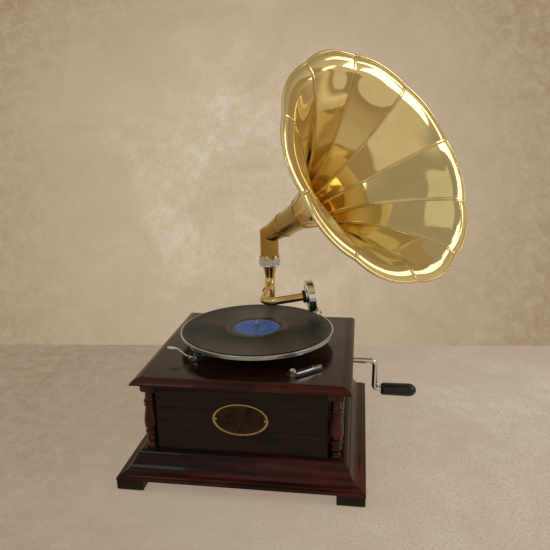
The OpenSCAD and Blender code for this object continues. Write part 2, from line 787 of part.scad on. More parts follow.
module record_label() {
    place([0.1, 0.22, 0.55]) at_xy(spin) difference() {
        zcyl(record_top - 0.3, record_top, label_r);
        zcyl(record_z, record_top + 1, pin_r + fit);
    }
}

// brake and speed control

function brake_screws() = [[104, 0], [124.5, -4]];
function brake_post() = [120, 6];
function speed_screws() = [[25.9, 3.6], [17.5, 4.45]];

module brake_base() {
    place(steel_c) at_brake() difference() {
        union() {
            translate([98, -8, 0]) cube([31, 19, 2]);
            at_xy(brake_post()) zcyl(1, 9, 2.4);
        }
        for (p = brake_screws()) at_xy(p) zcyl(-1, 3, 1.2 + fit);
    }
}

module brake_lever() {
    place(chrome_c) at_brake() difference() {
        union() {
            at_xy(brake_post()) zcyl(3, 6.5, 5);
            translate([brake_post()[0], brake_post()[1], 3]) rotate([0, 0, -118]) translate([0, -2.5, 0])
                cube([16.5, 5, 2.4]);
            translate([111.8, -11.5, 3]) cube([3.6, 5, 11.2]);
            hull() {
                translate([122, 3, 4.6]) sphere(1.5, $fn = 16);
                translate([133, -1, 8.6]) sphere(1.3, $fn = 16);
            }
            hull() {
                translate([133, -1, 8.6]) sphere(1.3, $fn = 16);
                translate([141, -12.6, 17.4]) sphere(1.2, $fn = 16);
            }
            hull() {
                translate([141, -12.6, 16.8]) cylinder(h = 1.4, r = 1.6, $fn = 24);
                translate([145.6, -19.6, 17.2]) cylinder(h = 1.4, r = 4, $fn = 24);
                translate([149.6, -26.4, 17.6]) cylinder(h = 1.4, r = 3.2, $fn = 24);
            }
        }
        at_xy(brake_post()) zcyl(0, 8, 2.4 + fit);
    }
}

module brake_pad() {
    place([0.35, 0.2, 0.1]) at_brake() translate([0, 0, 14.2]) difference() {
        translate([110.3, -11.5, 0]) cube([5.1, 5, 4.8]);
        translate([0, 0, -1]) cylinder(h = 7, r = platter_r - 16.5 + 1.4, $fn = 360);
    }
}

module wire(a, b, r) {
    hull() {
        translate(a) sphere(r, $fn = 16);
        translate(b) sphere(r, $fn = 16);
    }
}

module brake_spring() {
    place(steel_c) at_brake() {
        wire([122.6, -7.2, 2.7], [118.6, -18, 4.4], 0.7);
        wire([118.6, -18, 4.4], [110, -13.8, 5], 0.7);
    }
}

module speed_plate() {
    place([0.3, 0.3, 0.28]) at_speed() difference() {
        union() {
            translate([-29, -2, 0]) cube([59, 14, 1.6]);
            for (i = [0:8]) translate([-6 + i * 3.4, 8.6, 0]) cube([0.5, 2.6, 1.9]);
        }
        for (p = speed_screws()) at_xy(p) zcyl(-1, 3, 1.2 + fit);
        at_xy(speed_post) zcyl(-1, 3, 3.2);
    }
}

module speed_lever() {
    place(chrome_c) at_speed() {
        at_xy(speed_post) {
            zcyl(0, 6.4, 3);
            zcyl(6.4, 9.4, 4.1);
            zcyl(9.4, 10.6, 4.1, 2.6);
            for (a = [0:30:330]) rotate([0, 0, a]) translate([3.9, 0, 0]) zcyl(6.4, 9.2, 0.6);
        }
        translate([speed_post[0], speed_post[1], 4.4]) rotate([0, 0, -62]) translate([0, -1.8, 0])
            cube([8.4, 3.6, 1.4]);
        translate([-21, -6.7, 4.4]) cube([44, 3.6, 1.4]);
        translate([23, -4.9, 0]) zcyl(4.4, 7.4, 1.8);
        at_xy(speed_post) {
            zcyl(top_z - 14 - deck_z, 0.1, 3);
            rotate([0, 0, atan2(cam_at[1] - arm_post[1], cam_at[0] - arm_post[0]) - speed_a])
                translate([cam_e, 0, 0]) zcyl(top_z - 14 - deck_z, top_z - 8 - deck_z, cam_r);
        }
    }
}

// bracket, collar and arm

module back_bracket() {
    y1 = ch;
    top = collar_z + collar_h;
    place(brass_c) difference() {
        union() {
            translate([-22, y1, 84]) cube([44, 5, 60]);
            for (x = [-22, 22]) translate([x, 0, 114]) ycyl(y1, y1 + 5, 16);
            translate([-6.5, y1 + 5, 96]) rotate([90, 0, 90]) linear_extrude(13)
                polygon([[-0.5, 0], [11.5, 26], [16, 44], [20.5, 60], [24, 74], [25.5, 120],
                    [28, collar_z - 101], [28, top - 98.5], [26.5, top - 97], [19.5, top - 97],
                    [19.5, collar_z - 117],
                    [15.5, collar_z - 127], [15.2, 70], [9, 56], [4, 46], [-0.5, 40]]);
        }
        at_pivot(0) zcyl(collar_z, top + 2, collar_r);
        for (x = [-14, 14]) for (z = [96, 132]) translate([x, 0, z]) ycyl(y1 - 1, y1 + 6, 2 + fit);
    }
}

module collar() {
    place(chrome_c) at_pivot(collar_z) difference() {
        union() {
            rotate_extrude($fn = 96) {
                square([collar_r - 1.4, collar_h]);
                square([collar_r - 0.9, 1.2]);
                translate([collar_r - 1.4, 1.7]) circle(1.4, $fn = 32);
                translate([collar_r - 1.5, collar_h - 1.5]) circle(1.5, $fn = 32);
                square([collar_r - 3, collar_h]);
            }
            for (s = [0, 180]) for (a = [-60:15:60]) rotate([0, 0, s + a]) translate([collar_r - 1.5, 0, 0])
                zcyl(3.5, collar_h - 3.4, 1.3);
            for (s = [0, 180]) for (a = [-52.5:15:52.5]) rotate([0, 0, s + a])
                translate([collar_r - 1.3, 0, collar_h / 2]) sphere(1.25, $fn = 20);
        }
        zcyl(-1, collar_h + 1, 11);
        zcyl(collar_h - 8, collar_h + 2, elbow_r - 0.8 + fit);
        zcyl(-2, 8.2, arm_top_r + 1.5 + fit);
        translate([0, 0, -3]) difference() {
            zcyl(0, collar_h + 6, collar_r + 6);
            zcyl(-1, collar_h + 8, collar_r);
        }
    }
}

module arm_retainer() {
    place(chrome_c) at_pivot(collar_z) difference() {
        zcyl(0, 1.8, arm_top_r + 1.5 + fit);
        zcyl(-1, 3, arm_top_r + fit);
    }
}

module arm_solid(o) {
    at_pivot(0) {
        zcyl(collar_z - 1 - (o > 0 ? 1 : 0), collar_z + 2.2, arm_top_r - o);
        zcyl(arm_z + arm_bend, collar_z - 1, arm_end_r - o * 1.3, arm_top_r - o);
    }
    translate([0, pivot_y - arm_bend, arm_z + arm_bend]) rotate([-90, 0, 90])
        bow(arm_bend, arm_end_r - o * 1.3, 90);
}

module tone_arm() {
    place(brass_c) difference() {
        union() {
            at_pivot(collar_z) zcyl(2.1, 8, arm_top_r + 1.5);
            arm_solid(0);
            translate([0, 0, arm_z]) {
                ycyl(ring_y, pivot_y - arm_bend, arm_end_r);
                ycyl(ring_y, ring_y + 3.2, arm_end_r + 0.7);
            }
        }
        at_pivot(collar_z) zcyl(-1, 9, arm_top_r - 1.65);
        arm_solid(1.65);
        translate([0, 0, arm_z]) ycyl(ring_y - 1, pivot_y - arm_bend, goose_r + fit);
    }
}

module gooseneck() {
    ri = goose_r - 1.3;
    place(brass_c) at_goose() {
        difference() {
            union() {
                ycyl(bend_y, ring_y + 8, goose_r);
                ycyl(ring_y - 5.4, ring_y - joint_gap, arm_end_r);
                ycyl(ring_y - 4.6, ring_y - 1.1, arm_end_r + 0.5);
            }
            ycyl(bend_y - 1, ring_y + 9, ri);
        }
        translate([goose_bend, bend_y, 0]) rotate([0, 0, 180]) rotate_extrude(angle = goose_turn, $fn = 96)
            translate([goose_bend, 0]) difference() {
                circle(goose_r, $fn = 48);
                circle(ri, $fn = 48);
            }
        translate([goose_bend * (1 - cos(goose_turn)), bend_y - goose_bend * sin(goose_turn), 0])
            rotate([0, 0, goose_turn - 90]) ring_x(0, goose_end, ri, goose_r);
    }
}

// sound box

module box_hub() {
    place(black_c) at_box() difference() {
        union() {
            xcyl(-hub_len, -9, 10.4);
            xcyl(-hub_len + 1.5, -hub_len + 3, 11.6);
        }
        xcyl(-hub_len - 1, -8, goose_r - 1.3);
    }
}

module box_back() {
    place(chrome_c) at_box() difference() {
        rotate([0, 90, 0]) rotate_extrude($fn = 120) polygon([[5.5, -9], [12, -9], [13, -7.4], [22, -6.2],
            [25, -7], [box_r - 1.2, -7], [box_r, -5.8], [box_r, -2.5], [5.5, -2.5]]);
        for (a = [90, 210, 330]) rotate([a, 0, 0]) translate([0, box_r - 1.3, 0]) xcyl(-5, 0, 0.6 + fit);
    }
}

module box_gaskets() {
    place(black_c) at_box() {
        ring_x(-2.5, -0.2, box_r - 5.6, box_r - 2.3);
        ring_x(0.2, 2.5, box_r - 5.6, box_r - 2.3);
    }
}

module diaphragm() {
    place([0.75, 0.7, 0.6]) at_box() xcyl(-0.2, 0.2, box_r - 2.3);
}

module box_ring() {
    lug = box_r - 2;
    place(chrome_c) at_box() difference() {
        union() {
            ring_x(-2.5, 4.6, box_r - 2.2, box_r);
            ring_x(2.5, 5.2, box_r - 7, box_r - 0.6);
            for (s = [-1, 1]) translate([3, s * 4.9 - 1.3, -lug - 3.4]) cube([6, 2.6, 6]);
        }
        translate([6, 0, -lug - 0.5]) ycyl(-8, 8, 0.9 + fit);
        for (a = [90, 210, 330]) rotate([a, 0, 0]) translate([0, box_r - 1.3, 0]) xcyl(-3, 6, 0.6 + fit);
        translate([2, -3.2, -lug - 6]) cube([9, 6.4, 12]);
    }
}

module ring_screws() {
    place(chrome_c) at_box() for (a = [90, 210, 330]) rotate([a, 0, 0]) translate([0, box_r - 1.3, 0]) {
        xcyl(-4.4, 5.2, 0.6);
        translate([5.2, 0, 0]) rotate([0, 90, 0]) slotted(1.3, 0.9);
    }
}

module stylus_bar() {
    lug = box_r - 2;
    place(chrome_c) at_box() difference() {
        union() {
            translate([6, 0, -lug - 0.5]) ycyl(-6, 6, 0.9);
            translate([4.6, -2.7, -lug - 3]) cube([4, 5.4, 5]);
            translate([stylus_x, 0, 0]) zcyl(-lug - 8.5, -lug - 1, 3);
            translate([6.2, -1.1, -lug]) cube([1.6, 2.2, lug - 2]);
            translate([2.2, -1.1, -3.6]) cube([5.6, 2.2, 1.8]);
            translate([0, 0, -2.7]) xcyl(1.2, 2.6, 1.9);
        }
        translate([stylus_x, 0, 0]) zcyl(-lug - 10, -lug - 2.8, 0.9 + fit);
        translate([0, 0, -lug - 5]) xcyl(stylus_x, stylus_x + 4, 1 + fit);
    }
}

module needle() {
    lug = box_r - 2;
    place([0.7, 0.7, 0.72]) at_box() translate([stylus_x, 0, 0]) {
        zcyl(-needle_len + 4, -lug - 3, 0.9);
        zcyl(-needle_len, -needle_len + 4, 0.1, 0.9);
    }
}

module needle_screw() {
    lug = box_r - 2;
    place(chrome_c) at_box() translate([0, 0, -lug - 5]) {
        xcyl(stylus_x + 0.9 + joint_gap, stylus_x + 4, 1);
        xcyl(stylus_x + 3.4, stylus_x + 6.4, 2.5);
        for (a = [0:45:315]) rotate([a, 0, 0]) translate([0, 2.4, 0])
            xcyl(stylus_x + 3.5, stylus_x + 6.3, 0.45);
    }
}

// elbow and horn

module mitre_side(up) {
    at_pivot(elbow_z) rotate([(90 - horn_el) / 2, 0, horn_az])
        translate([-60, -60, up ? kerf / 2 : -120 - kerf / 2]) cube(120);
}

// two mitred lengths of tube, soldered together, with a spigot that turns in the collar
module elbow() {
    foot_z = collar_z + collar_h;
    ro = neck_r + sheet_t;
    place(dark_brass) {
        difference() {
            union() {
                intersection() {
                    at_pivot(0) zcyl(foot_z + 1, elbow_z + 20, elbow_r);
                    mitre_side(false);
                }
                at_pivot(foot_z) zcyl(-8 + joint_gap, 1.5, elbow_r - 0.8);
                at_pivot(foot_z) zcyl(joint_gap, 3.2, elbow_r + 1.6, elbow_r + 0.4);
            }
            at_pivot(foot_z) zcyl(-9, 3, elbow_r - 2.6);
            at_pivot(foot_z) zcyl(2, 80, elbow_r - elbow_t);
        }
        difference() {
            intersection() {
                at_horn() {
                    zcyl(-20, 11, elbow_r);
                    zcyl(11, band_t, elbow_r, ro);
                }
                mitre_side(true);
            }
            at_horn() {
                zcyl(-20, 11, elbow_r - elbow_t);
                zcyl(11, band_t, elbow_r - elbow_t, ro - elbow_t);
                zcyl(band_t - 0.5, band_t + 1, ro - elbow_t);
            }
        }
    }
}

module horn_neck() {
    taper = (neck_r + sheet_t - elbow_r) / (band_t - 11);
    ro = neck_r + sheet_t;
    place(brass_c) at_horn() rotate_extrude($fn = 120) polygon(concat(
        [for (i = [0:6]) hp(band_t + (petal_t - band_t) * i / 6, 0)],
        [hp(petal_t, sheet_t + 1), hp(petal_t - 4, sheet_t + 1), hp(petal_t - 4, sheet_t)],
        [for (i = [5:-1:1]) hp(band_t + (petal_t - band_t) * i / 6, sheet_t)],
        [[ro + 0.05, band_t + 2.6], [ro + 0.9, band_t + 2.6], [ro + 1.5, band_t + 1.6],
        [ro + 1.5, band_t - 1.6], [ro + 0.9, band_t - 2.6], [ro - 2.6 * taper, band_t - 2.6],
        [ro, band_t]]));
}

module lobes(h) {
    linear_extrude(h) for (i = [0:petals - 1]) rotate([0, 0, phase + half + i * 2 * half])
        translate([lobe_d, 0]) circle(lobe_r, $fn = 180);
}

module seam_slabs(w) {
    for (i = [0:petals - 1]) rotate([0, 0, phase + i * 2 * half])
        translate([0, -w / 2, petal_t - 5]) cube([mid_r + 20, w, horn_len]);
}

module rim_solid() {
    translate([0, 0, bead_t]) for (i = [0:petals - 1]) rotate([0, 0, phase + half + i * 2 * half]) {
        translate([lobe_d, 0, 0]) rotate([0, 0, -lobe_a]) bow(lobe_r, bead_r, 2 * lobe_a);
        rotate([0, 0, half]) translate([mouth_r, 0, 0]) sphere(bead_r, $fn = 48);
    }
}

module bell_sheet() {
    difference() {
        intersection() {
            rotate_extrude($fn = 180) polygon(bell_shape(0, sheet_t, mid_r + 4));
            lobes(horn_len + 30);
        }
        seam_slabs(slit);
    }
}

module horn_petals() {
    place(brass_c) at_horn() difference() {
        bell_sheet();
        rim_solid();
    }
}

// a strip along each joint between petals, on the sheet's face at the offset a
module seam_strips(a) {
    intersection() {
        rotate_extrude($fn = 180) polygon(bell_shape(a, a + seam_h, mouth_r - bead_r - 0.5));
        seam_slabs(seam_w);
    }
}

module horn_seams() {
    place(brass_c) at_horn() {
        seam_strips(-seam_h);
        seam_strips(sheet_t);
    }
}

module horn_rim() {
    place(brass_c) at_horn() rim_solid();
}

// crank

module crank_rod() {
    place(chrome_c) at_crank() {
        xcyl(barrel[0] + r_crown + 25.2, crank_x - bend_r, rod_r);
        translate([crank_x - bend_r, 0, -bend_r]) rotate([0, -90, -90]) bow(bend_r, rod_r, 90);
        translate([crank_x, 0, 0]) zcyl(-crank_arm + bend_r, -bend_r, rod_r);
        translate([crank_x + bend_r, 0, -crank_arm + bend_r]) rotate([-90, 0, 180]) bow(bend_r, rod_r, 90);
        translate([0, 0, -crank_arm]) {
            xcyl(crank_x + bend_r, crank_x + bend_r + grip_len - 8, rod_r);
            xcyl(crank_x + bend_r + 0.6, crank_x + bend_r + 3 - joint_gap, 7.4);
        }
    }
}

module crank_grip() {
    x = crank_x + bend_r + 3;
    n = 12;
    dome = 14;
    place(black_c) at_crank() translate([x, 0, -crank_arm]) difference() {
        rotate([0, 90, 0]) rotate_extrude($fn = 96) polygon(concat(
            [[0, 0], [8.2, 0], [grip_r - 0.5, 3.4], [grip_r, grip_len - dome]],
            [for (i = [1:n]) [grip_r * cos(90 * i / n), grip_len - dome + dome * sin(90 * i / n)]]));
        xcyl(-1, grip_len - 9, rod_r + fit);
    }
}

feet();
plinth_moulding();
bottom_board();
case_panels();
corner_posts();
corner_columns();
motor_board();
lid_moulding();
front_plate();
screws();
crank_bush();
motor_top_plate();
motor_low_plate();
motor_pillars();
motor_mounts();
spring_barrel();
barrel_lid();
mainspring();
barrel_arbor();
click();
crown_wheel();
winding_shaft();
transfer_gear();
turntable_spindle();
worm_wheel();
governor_shaft();
governor_weights();
governor_arm();
platter();
platter_mat();
record();
record_label();
brake_base();
brake_lever();
brake_pad();
brake_spring();
speed_plate();
speed_lever();
back_bracket();
collar();
arm_retainer();
tone_arm();
gooseneck();
box_hub();
box_back();
box_gaskets();
diaphragm();
box_ring();
ring_screws();
stylus_bar();
needle();
needle_screw();
elbow();
horn_neck();
horn_petals();
horn_seams();
horn_rim();
crank_rod();
crank_grip();
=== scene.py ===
"""Looks for the horn gramophone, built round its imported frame. Metres, X right, Y back, Z up."""
import math

import bpy
from bpy.props import FloatProperty, FloatVectorProperty, PointerProperty
from mathutils import Matrix, Vector, noise


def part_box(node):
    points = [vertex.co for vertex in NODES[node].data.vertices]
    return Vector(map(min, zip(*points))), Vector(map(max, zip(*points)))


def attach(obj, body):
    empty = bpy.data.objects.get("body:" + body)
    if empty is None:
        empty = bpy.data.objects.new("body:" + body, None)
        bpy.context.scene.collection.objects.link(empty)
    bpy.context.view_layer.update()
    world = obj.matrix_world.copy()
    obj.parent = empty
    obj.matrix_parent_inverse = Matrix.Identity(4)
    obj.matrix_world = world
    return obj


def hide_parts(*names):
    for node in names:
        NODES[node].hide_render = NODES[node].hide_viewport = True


bl_info = {
    "name": "Horn Gramophone Looks",
    "version": (1, 0, 0),
    "blender": (4, 5, 0),
    "location": "View3D > Sidebar > Gramophone",
    "description": "Finishes and fine pieces for a wind-up gramophone with a petal horn",
    "category": "Object",
}

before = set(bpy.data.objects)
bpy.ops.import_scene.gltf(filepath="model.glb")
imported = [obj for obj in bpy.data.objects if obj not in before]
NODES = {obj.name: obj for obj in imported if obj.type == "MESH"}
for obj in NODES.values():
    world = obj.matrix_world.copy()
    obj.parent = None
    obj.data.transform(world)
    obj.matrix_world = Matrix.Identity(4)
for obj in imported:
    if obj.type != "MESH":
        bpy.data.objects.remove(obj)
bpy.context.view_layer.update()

MM = 0.001
TABLE_LOW, TABLE_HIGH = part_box("platter")
SPINDLE = Vector(((TABLE_LOW.x + TABLE_HIGH.x) / 2, (TABLE_LOW.y + TABLE_HIGH.y) / 2, 0))
CASE_LOW, CASE_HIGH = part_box("plinth_moulding")
CENTRE = Vector(((CASE_LOW.x + CASE_HIGH.x) / 2, (CASE_LOW.y + CASE_HIGH.y) / 2, 0))


# Settings

def colour(name, text, default):
    return FloatVectorProperty(name=name, description=text, default=default, size=3,
                               subtype="COLOR", min=0, max=1)


class CabinetSettings(bpy.types.PropertyGroup):
    """Tones of the case's wood"""
    shadow_tone: colour("Shadow tone", "Darkest tone of the mahogany", (0.004, 0.0018, 0.0015))
    body_tone: colour("Body tone", "Usual tone of the mahogany", (0.018, 0.0042, 0.003))
    red_tone: colour("Red tone", "Tone where the stain is thin", (0.085, 0.011, 0.007))
    panel_tone: colour("Panel tone", "Tone of the dull front and side panels", (0.021, 0.0125, 0.0095))


class HornSettings(bpy.types.PropertyGroup):
    """Tones of the brass, and how the petals are worked"""
    brass: colour("Brass", "Tone of the polished horn", (0.86, 0.7, 0.33))
    dark_brass: colour("Dark brass", "Tone of the elbow", (0.56, 0.37, 0.1))
    dents: FloatProperty(name="Unevenness", description="Depth of the hand-worked waves in the sheet",
                         default=0.00045, min=0, max=0.002, unit="LENGTH")
    crease_round: FloatProperty(name="Crease", description="Rounding of the fold behind the lip",
                                default=0.002, min=0.001, max=0.02, unit="LENGTH")
    flatness: FloatProperty(name="Flatness",
                            description="How flat a petal is from seam to seam, 1 being a chord",
                            default=0.85, min=0, max=1, subtype="FACTOR")


class TurntableSettings(bpy.types.PropertyGroup):
    """Tones of the record and its label"""
    shellac: colour("Record", "Tone of the record", (0.007, 0.0105, 0.0075))
    paper: colour("Label", "Tone of the bare label", (0.035, 0.15, 0.62))


class StageSettings(bpy.types.PropertyGroup):
    """Tones, distance and light of the room"""
    floor: colour("Floor", "Tone of the floor", (0.795, 0.688, 0.562))
    wall: colour("Wall", "Tone of the wall", (0.66, 0.555, 0.415))
    wall_distance: FloatProperty(name="Wall distance",
                                 description="Distance from the case's centre to the wall",
                                 default=0.43, min=0.3, max=2, unit="LENGTH")
    light_level: FloatProperty(name="Light", description="Level of all the softboxes",
                               default=1, min=0, max=4)


# The groups of settings, by their names on the scene
GROUPS = {"gramophone_cabinet": CabinetSettings, "gramophone_horn": HornSettings,
          "gramophone_turntable": TurntableSettings, "gramophone_stage": StageSettings}


# Node materials

# A Mix node's sockets for its factor, first value, second value and result
MIX_FLOATS = (0, 2, 3, 0)
MIX_COLOURS = (0, 6, 7, 2)


def shaded(tone, *parts):
    """The tone times one number, or times one number each for red, green and blue."""
    return tuple(c * k for c, k in zip(tone, parts * 3))


class Finish:
    """A material that is put together node by node round one Principled shader."""

    def __init__(self, name):
        self.material = bpy.data.materials.new(name)
        self.material.use_nodes = True
        self.tree = self.material.node_tree
        self.tree.nodes.clear()
        self.shader = self.node("BsdfPrincipled")
        self.output = self.node("OutputMaterial")
        self.put(self.output.inputs[0], self.shader.outputs[0])

    def put(self, socket, value):
        if isinstance(value, bpy.types.NodeSocket):
            self.tree.links.new(value, socket)
        elif socket.type == "RGBA":
            socket.default_value = (*value, 1)
        else:
            socket.default_value = value

    def node(self, kind, *values, sockets=None, **options):
        """Adds a node. values go to its sockets in their order, and those in sockets by name."""
        made = self.tree.nodes.new("ShaderNode" + kind)
        for key, value in options.items():
            setattr(made, key, value)
        for key, value in (*enumerate(values), *(sockets or {}).items()):
            self.put(made.inputs[key], value)
        return made

    def math(self, operation, *values):
        return self.node("Math", *values, operation=operation).outputs[0]

    def add(self, first, second):
        return self.math("ADD", first, second)

    def times(self, first, second):
        return self.math("MULTIPLY", first, second)

    def hypot(self, first, second):
        return self.math("SQRT", self.add(self.times(first, first), self.times(second, second)))

    def place(self):
        return self.node("TexCoord").outputs["Object"]

    def place_from(self, origin):
        """The place, counted from an origin."""
        return self.node("VectorMath", self.place(), tuple(-origin), operation="ADD").outputs[0]

    def distance(self, at, spot):
        return self.node("VectorMath", at, tuple(spot), operation="DISTANCE").outputs["Value"]

    def split(self, vector):
        return self.node("SeparateXYZ", vector).outputs

    def join(self, x, y, z):
        return self.node("CombineXYZ", x, y, z).outputs[0]

    def stretch(self, vector, scale, offset=(0, 0, 0), turn=(0, 0, 0)):
        return self.node("Mapping", vector, offset, turn, scale).outputs[0]

    def noise(self, vector, scale=1.0, detail=4, rough=0.55, warp=0.0):
        return self.node("TexNoise", sockets={"Vector": vector, "Scale": scale, "Detail": detail,
                                              "Roughness": rough, "Distortion": warp}).outputs[0]

    def span(self, value, low, high, to_low=0.0, to_high=1.0):
        return self.node("MapRange", value, low, high, to_low, to_high).outputs[0]

    def mixed(self, kind, sockets, *values):
        made = self.node("Mix", data_type=kind)
        *inputs, result = sockets
        for index, value in zip(inputs, values):
            self.put(made.inputs[index], value)
        return made.outputs[result]

    def mix(self, factor, first, second):
        return self.mixed("RGBA", MIX_COLOURS, factor, first, second)

    def blend(self, factor, first, second):
        return self.mixed("FLOAT", MIX_FLOATS, factor, first, second)

    def soft_edge(self, radius):
        return self.node("Bevel", radius, samples=4).outputs[0]

    def edge_wear(self, edge):
        """How sharply the surface turns here, from 0 on a flat to 1 on an arris."""
        geometry = self.node("NewGeometry").outputs["Normal"]
        dot = self.node("VectorMath", edge, geometry, operation="DOT_PRODUCT").outputs["Value"]
        return self.span(self.math("SUBTRACT", 1.0, dot), 0.02, 0.35)

    def bump(self, height, depth, normal=None):
        sockets = {"Height": height, "Distance": depth, "Strength": 1.0}
        if normal:
            sockets["Normal"] = normal
        return self.node("Bump", sockets=sockets).outputs[0]

    def shade(self, **sockets):
        """Sets the shader's sockets, named with _ for a space."""
        for key, value in sockets.items():
            self.put(self.shader.inputs[key.replace("_", " ")], value)
        return self.material


# How the place is turned so that its X runs along the grain
GRAIN_TURNS = {"x": (0, 0, 0), "z": (0, math.radians(90), 0)}
PORE_TONE = (0.003, 0.002, 0.002)
RUBBED_TONE = (0.14, 0.05, 0.03)


def mahogany(name, run, tones, gloss, dull, scale=1.0, lift=1.0):
    """French-polished mahogany.

    run is the grain's axis, or "frame" for the four mitred lengths of a frame. gloss is how much polish
    there is and dull how rough the wood is under it. scale makes the figure finer, and lift makes the body
    and red tones lighter: painted light, for parts that catch more light.
    """
    f = Finish(name)
    at = f.place_from(CENTRE)
    if run == "frame":
        x, y, z = f.split(at)
        side = f.math("GREATER_THAN", f.math("ABSOLUTE", x), f.math("ABSOLUTE", y))
        at = f.join(f.blend(side, x, y), f.blend(side, y, x), z)
    else:
        at = f.stretch(at, (1, 1, 1), turn=GRAIN_TURNS[run])
    figure = f.noise(f.stretch(at, (5 * scale, 38 * scale, 38 * scale)), detail=6, rough=0.62, warp=0.9)
    cloud = f.noise(f.stretch(at, (7, 16, 16), (3, 1, 7)), detail=3, rough=0.5)
    pores = f.noise(f.stretch(at, (90, 1500, 1500)), detail=3, rough=0.7)
    smear = f.noise(f.stretch(at, (14, 22, 22), (9, 2, 4)), detail=4, rough=0.6)
    edge = f.soft_edge(0.6 * MM)
    wear = f.edge_wear(edge)
    red = f.times(f.span(figure, 0.42, 0.72), f.span(cloud, 0.36, 0.66))
    # lift lightens the body and red tones: painted light on the parts that catch more light
    tone = f.mix(f.span(figure, 0.3, 0.62), tones.shadow_tone, shaded(tones.body_tone, lift))
    tone = f.mix(red, tone, shaded(tones.red_tone, lift))
    tone = f.mix(f.times(f.span(pores, 0.62, 0.74), 0.45), tone, PORE_TONE)
    tone = f.mix(f.times(wear, f.span(cloud, 0.4, 0.62, 0.15, 0.8)), tone, RUBBED_TONE)
    rough = f.add(f.span(smear, 0.3, 0.75, dull - 0.06, dull + 0.1), f.times(wear, 0.12))
    height = f.add(f.times(pores, 0.6), f.times(figure, 0.8))
    return f.shade(Base_Color=tone, Roughness=rough, Specular_IOR_Level=0.12, Coat_Weight=gloss,
                   Coat_Roughness=0.05, Coat_IOR=1.45, Normal=f.bump(height, 0.05 * MM, edge))


def panel_finish(name, tones):
    """The case's panels: dark stained board under a thin satin varnish."""
    f = Finish(name)
    at = f.place()
    grain = f.noise(f.stretch(at, (9, 9, 150)), detail=5, rough=0.6, warp=0.4)
    cloud = f.noise(at, 14, detail=3, rough=0.5)
    specks = f.noise(at, 900, detail=2, rough=0.6)
    edge = f.soft_edge(0.5 * MM)
    faded, rubbed = (0.03, 0.016, 0.014), (0.08, 0.035, 0.025)
    tone = f.mix(f.span(grain, 0.35, 0.7), tones.shadow_tone, tones.panel_tone)
    tone = f.mix(f.times(f.span(cloud, 0.45, 0.75), 0.5), tone, faded)
    tone = f.mix(f.times(f.edge_wear(edge), 0.5), tone, rubbed)
    height = f.add(grain, f.times(specks, 0.7))
    return f.shade(Base_Color=tone, Roughness=f.span(cloud, 0.3, 0.7, 0.34, 0.46), Specular_IOR_Level=0.2,
                   Coat_Weight=0.07, Coat_Roughness=0.25, Normal=f.bump(height, 0.05 * MM, edge))


def metal(name, tone, dark, rough, waves=0.0, scratch=0.01 * MM, grime=0.5, painted_shade=None):
    """Polished or turned metal with fine scratches, and dirt that stays off the arrises.

    dark is the dirt's tone and grime how much there is. rough goes from where the metal is polished to
    where it is dull. waves and scratch are depths. tarnish is a place, how far from it the metal is
    darkened as painted shade, and the tone it has there.
    """
    f = Finish(name)
    at = f.place()
    cloud = f.noise(at, 18, detail=4, rough=0.6, warp=0.5)
    lines = f.noise(f.stretch(at, (300, 2400, 900)), detail=3, rough=0.7, warp=0.3)
    cross_lines = f.noise(f.stretch(at, (2200, 260, 1200), (2, 5, 1)), detail=3, rough=0.7, warp=0.3)
    fine = f.add(lines, cross_lines)
    edge = f.soft_edge(0.3 * MM)
    rubbed = tuple(min(1, c * 1.15 + 0.03) for c in tone)
    base = f.mix(f.times(f.span(cloud, 0.42, 0.7), grime), tone, dark)
    base = f.mix(f.times(f.edge_wear(edge), 0.5), base, rubbed)
    # Painted shade: the metal darkens towards a place, and stain is the tone of that shade
    if painted_shade:
        spot, reach, stain = painted_shade
        shade_distance = f.add(f.distance(at, spot), f.times(cloud, 0.03))
        base = f.mix(f.span(shade_distance, 0.4 * reach, reach, 1, 0), base, stain)
    height = f.times(fine, scratch)
    if waves:
        height = f.add(height, f.times(f.noise(at, 30, detail=2, rough=0.4), waves))
    dulled = f.span(f.add(cloud, f.times(fine, 0.3)), 0.5, 1.1, *rough)
    return f.shade(Metallic=1.0, Base_Color=base, Roughness=dulled, Normal=f.bump(height, 1.0, edge))


def soft_finish(name, tone, other, rough=0.8, grain=1400, depth=0.08 * MM, sheen=0.0):
    """Rubber, leather or felt: two tones and a fine tooth."""
    f = Finish(name)
    at = f.place()
    tooth = f.noise(at, grain, detail=3, rough=0.7)
    cloud = f.noise(at, 60, detail=3, rough=0.6)
    base = f.mix(f.span(f.add(tooth, cloud), 0.75, 1.3), tone, other)
    return f.shade(Base_Color=base, Roughness=rough, Sheen_Weight=sheen,
                   Normal=f.bump(tooth, depth, f.soft_edge(0.3 * MM)))


def lacquer_black(name):
    """Black lacquer on the crank's grip, rubbed and finely scratched."""
    f = Finish(name)
    at = f.place()
    cloud = f.noise(at, 40, detail=4, rough=0.6)
    lines = f.noise(f.stretch(at, (90, 2400, 2400)), detail=3, rough=0.7)
    tone = f.mix(f.span(cloud, 0.4, 0.7), (0.004, 0.004, 0.005), (0.012, 0.011, 0.012))
    return f.shade(Base_Color=tone, Roughness=f.span(cloud, 0.3, 0.7, 0.2, 0.34), Specular_IOR_Level=0.3,
                   Coat_Weight=0.35, Coat_Roughness=0.06,
                   Normal=f.bump(f.add(cloud, lines), 0.02 * MM, f.soft_edge(0.5 * MM)))


def mica(name):
    """The sound box's sheet of mica: pale flakes under a clear face."""
    f = Finish(name)
    at = f.place()
    flakes = f.node("TexVoronoi", sockets={"Vector": at, "Scale": 260}).outputs["Color"]
    cloud = f.noise(at, 90, detail=4, rough=0.6)
    tone = f.mix(f.span(cloud, 0.4, 0.7), (0.42, 0.36, 0.26), (0.6, 0.54, 0.42))
    return f.shade(Base_Color=tone, Roughness=f.span(f.node("RGBToBW", flakes).outputs[0], 0, 1, 0.12, 0.3),
                   Coat_Weight=0.8, Normal=f.bump(cloud, 0.04 * MM))


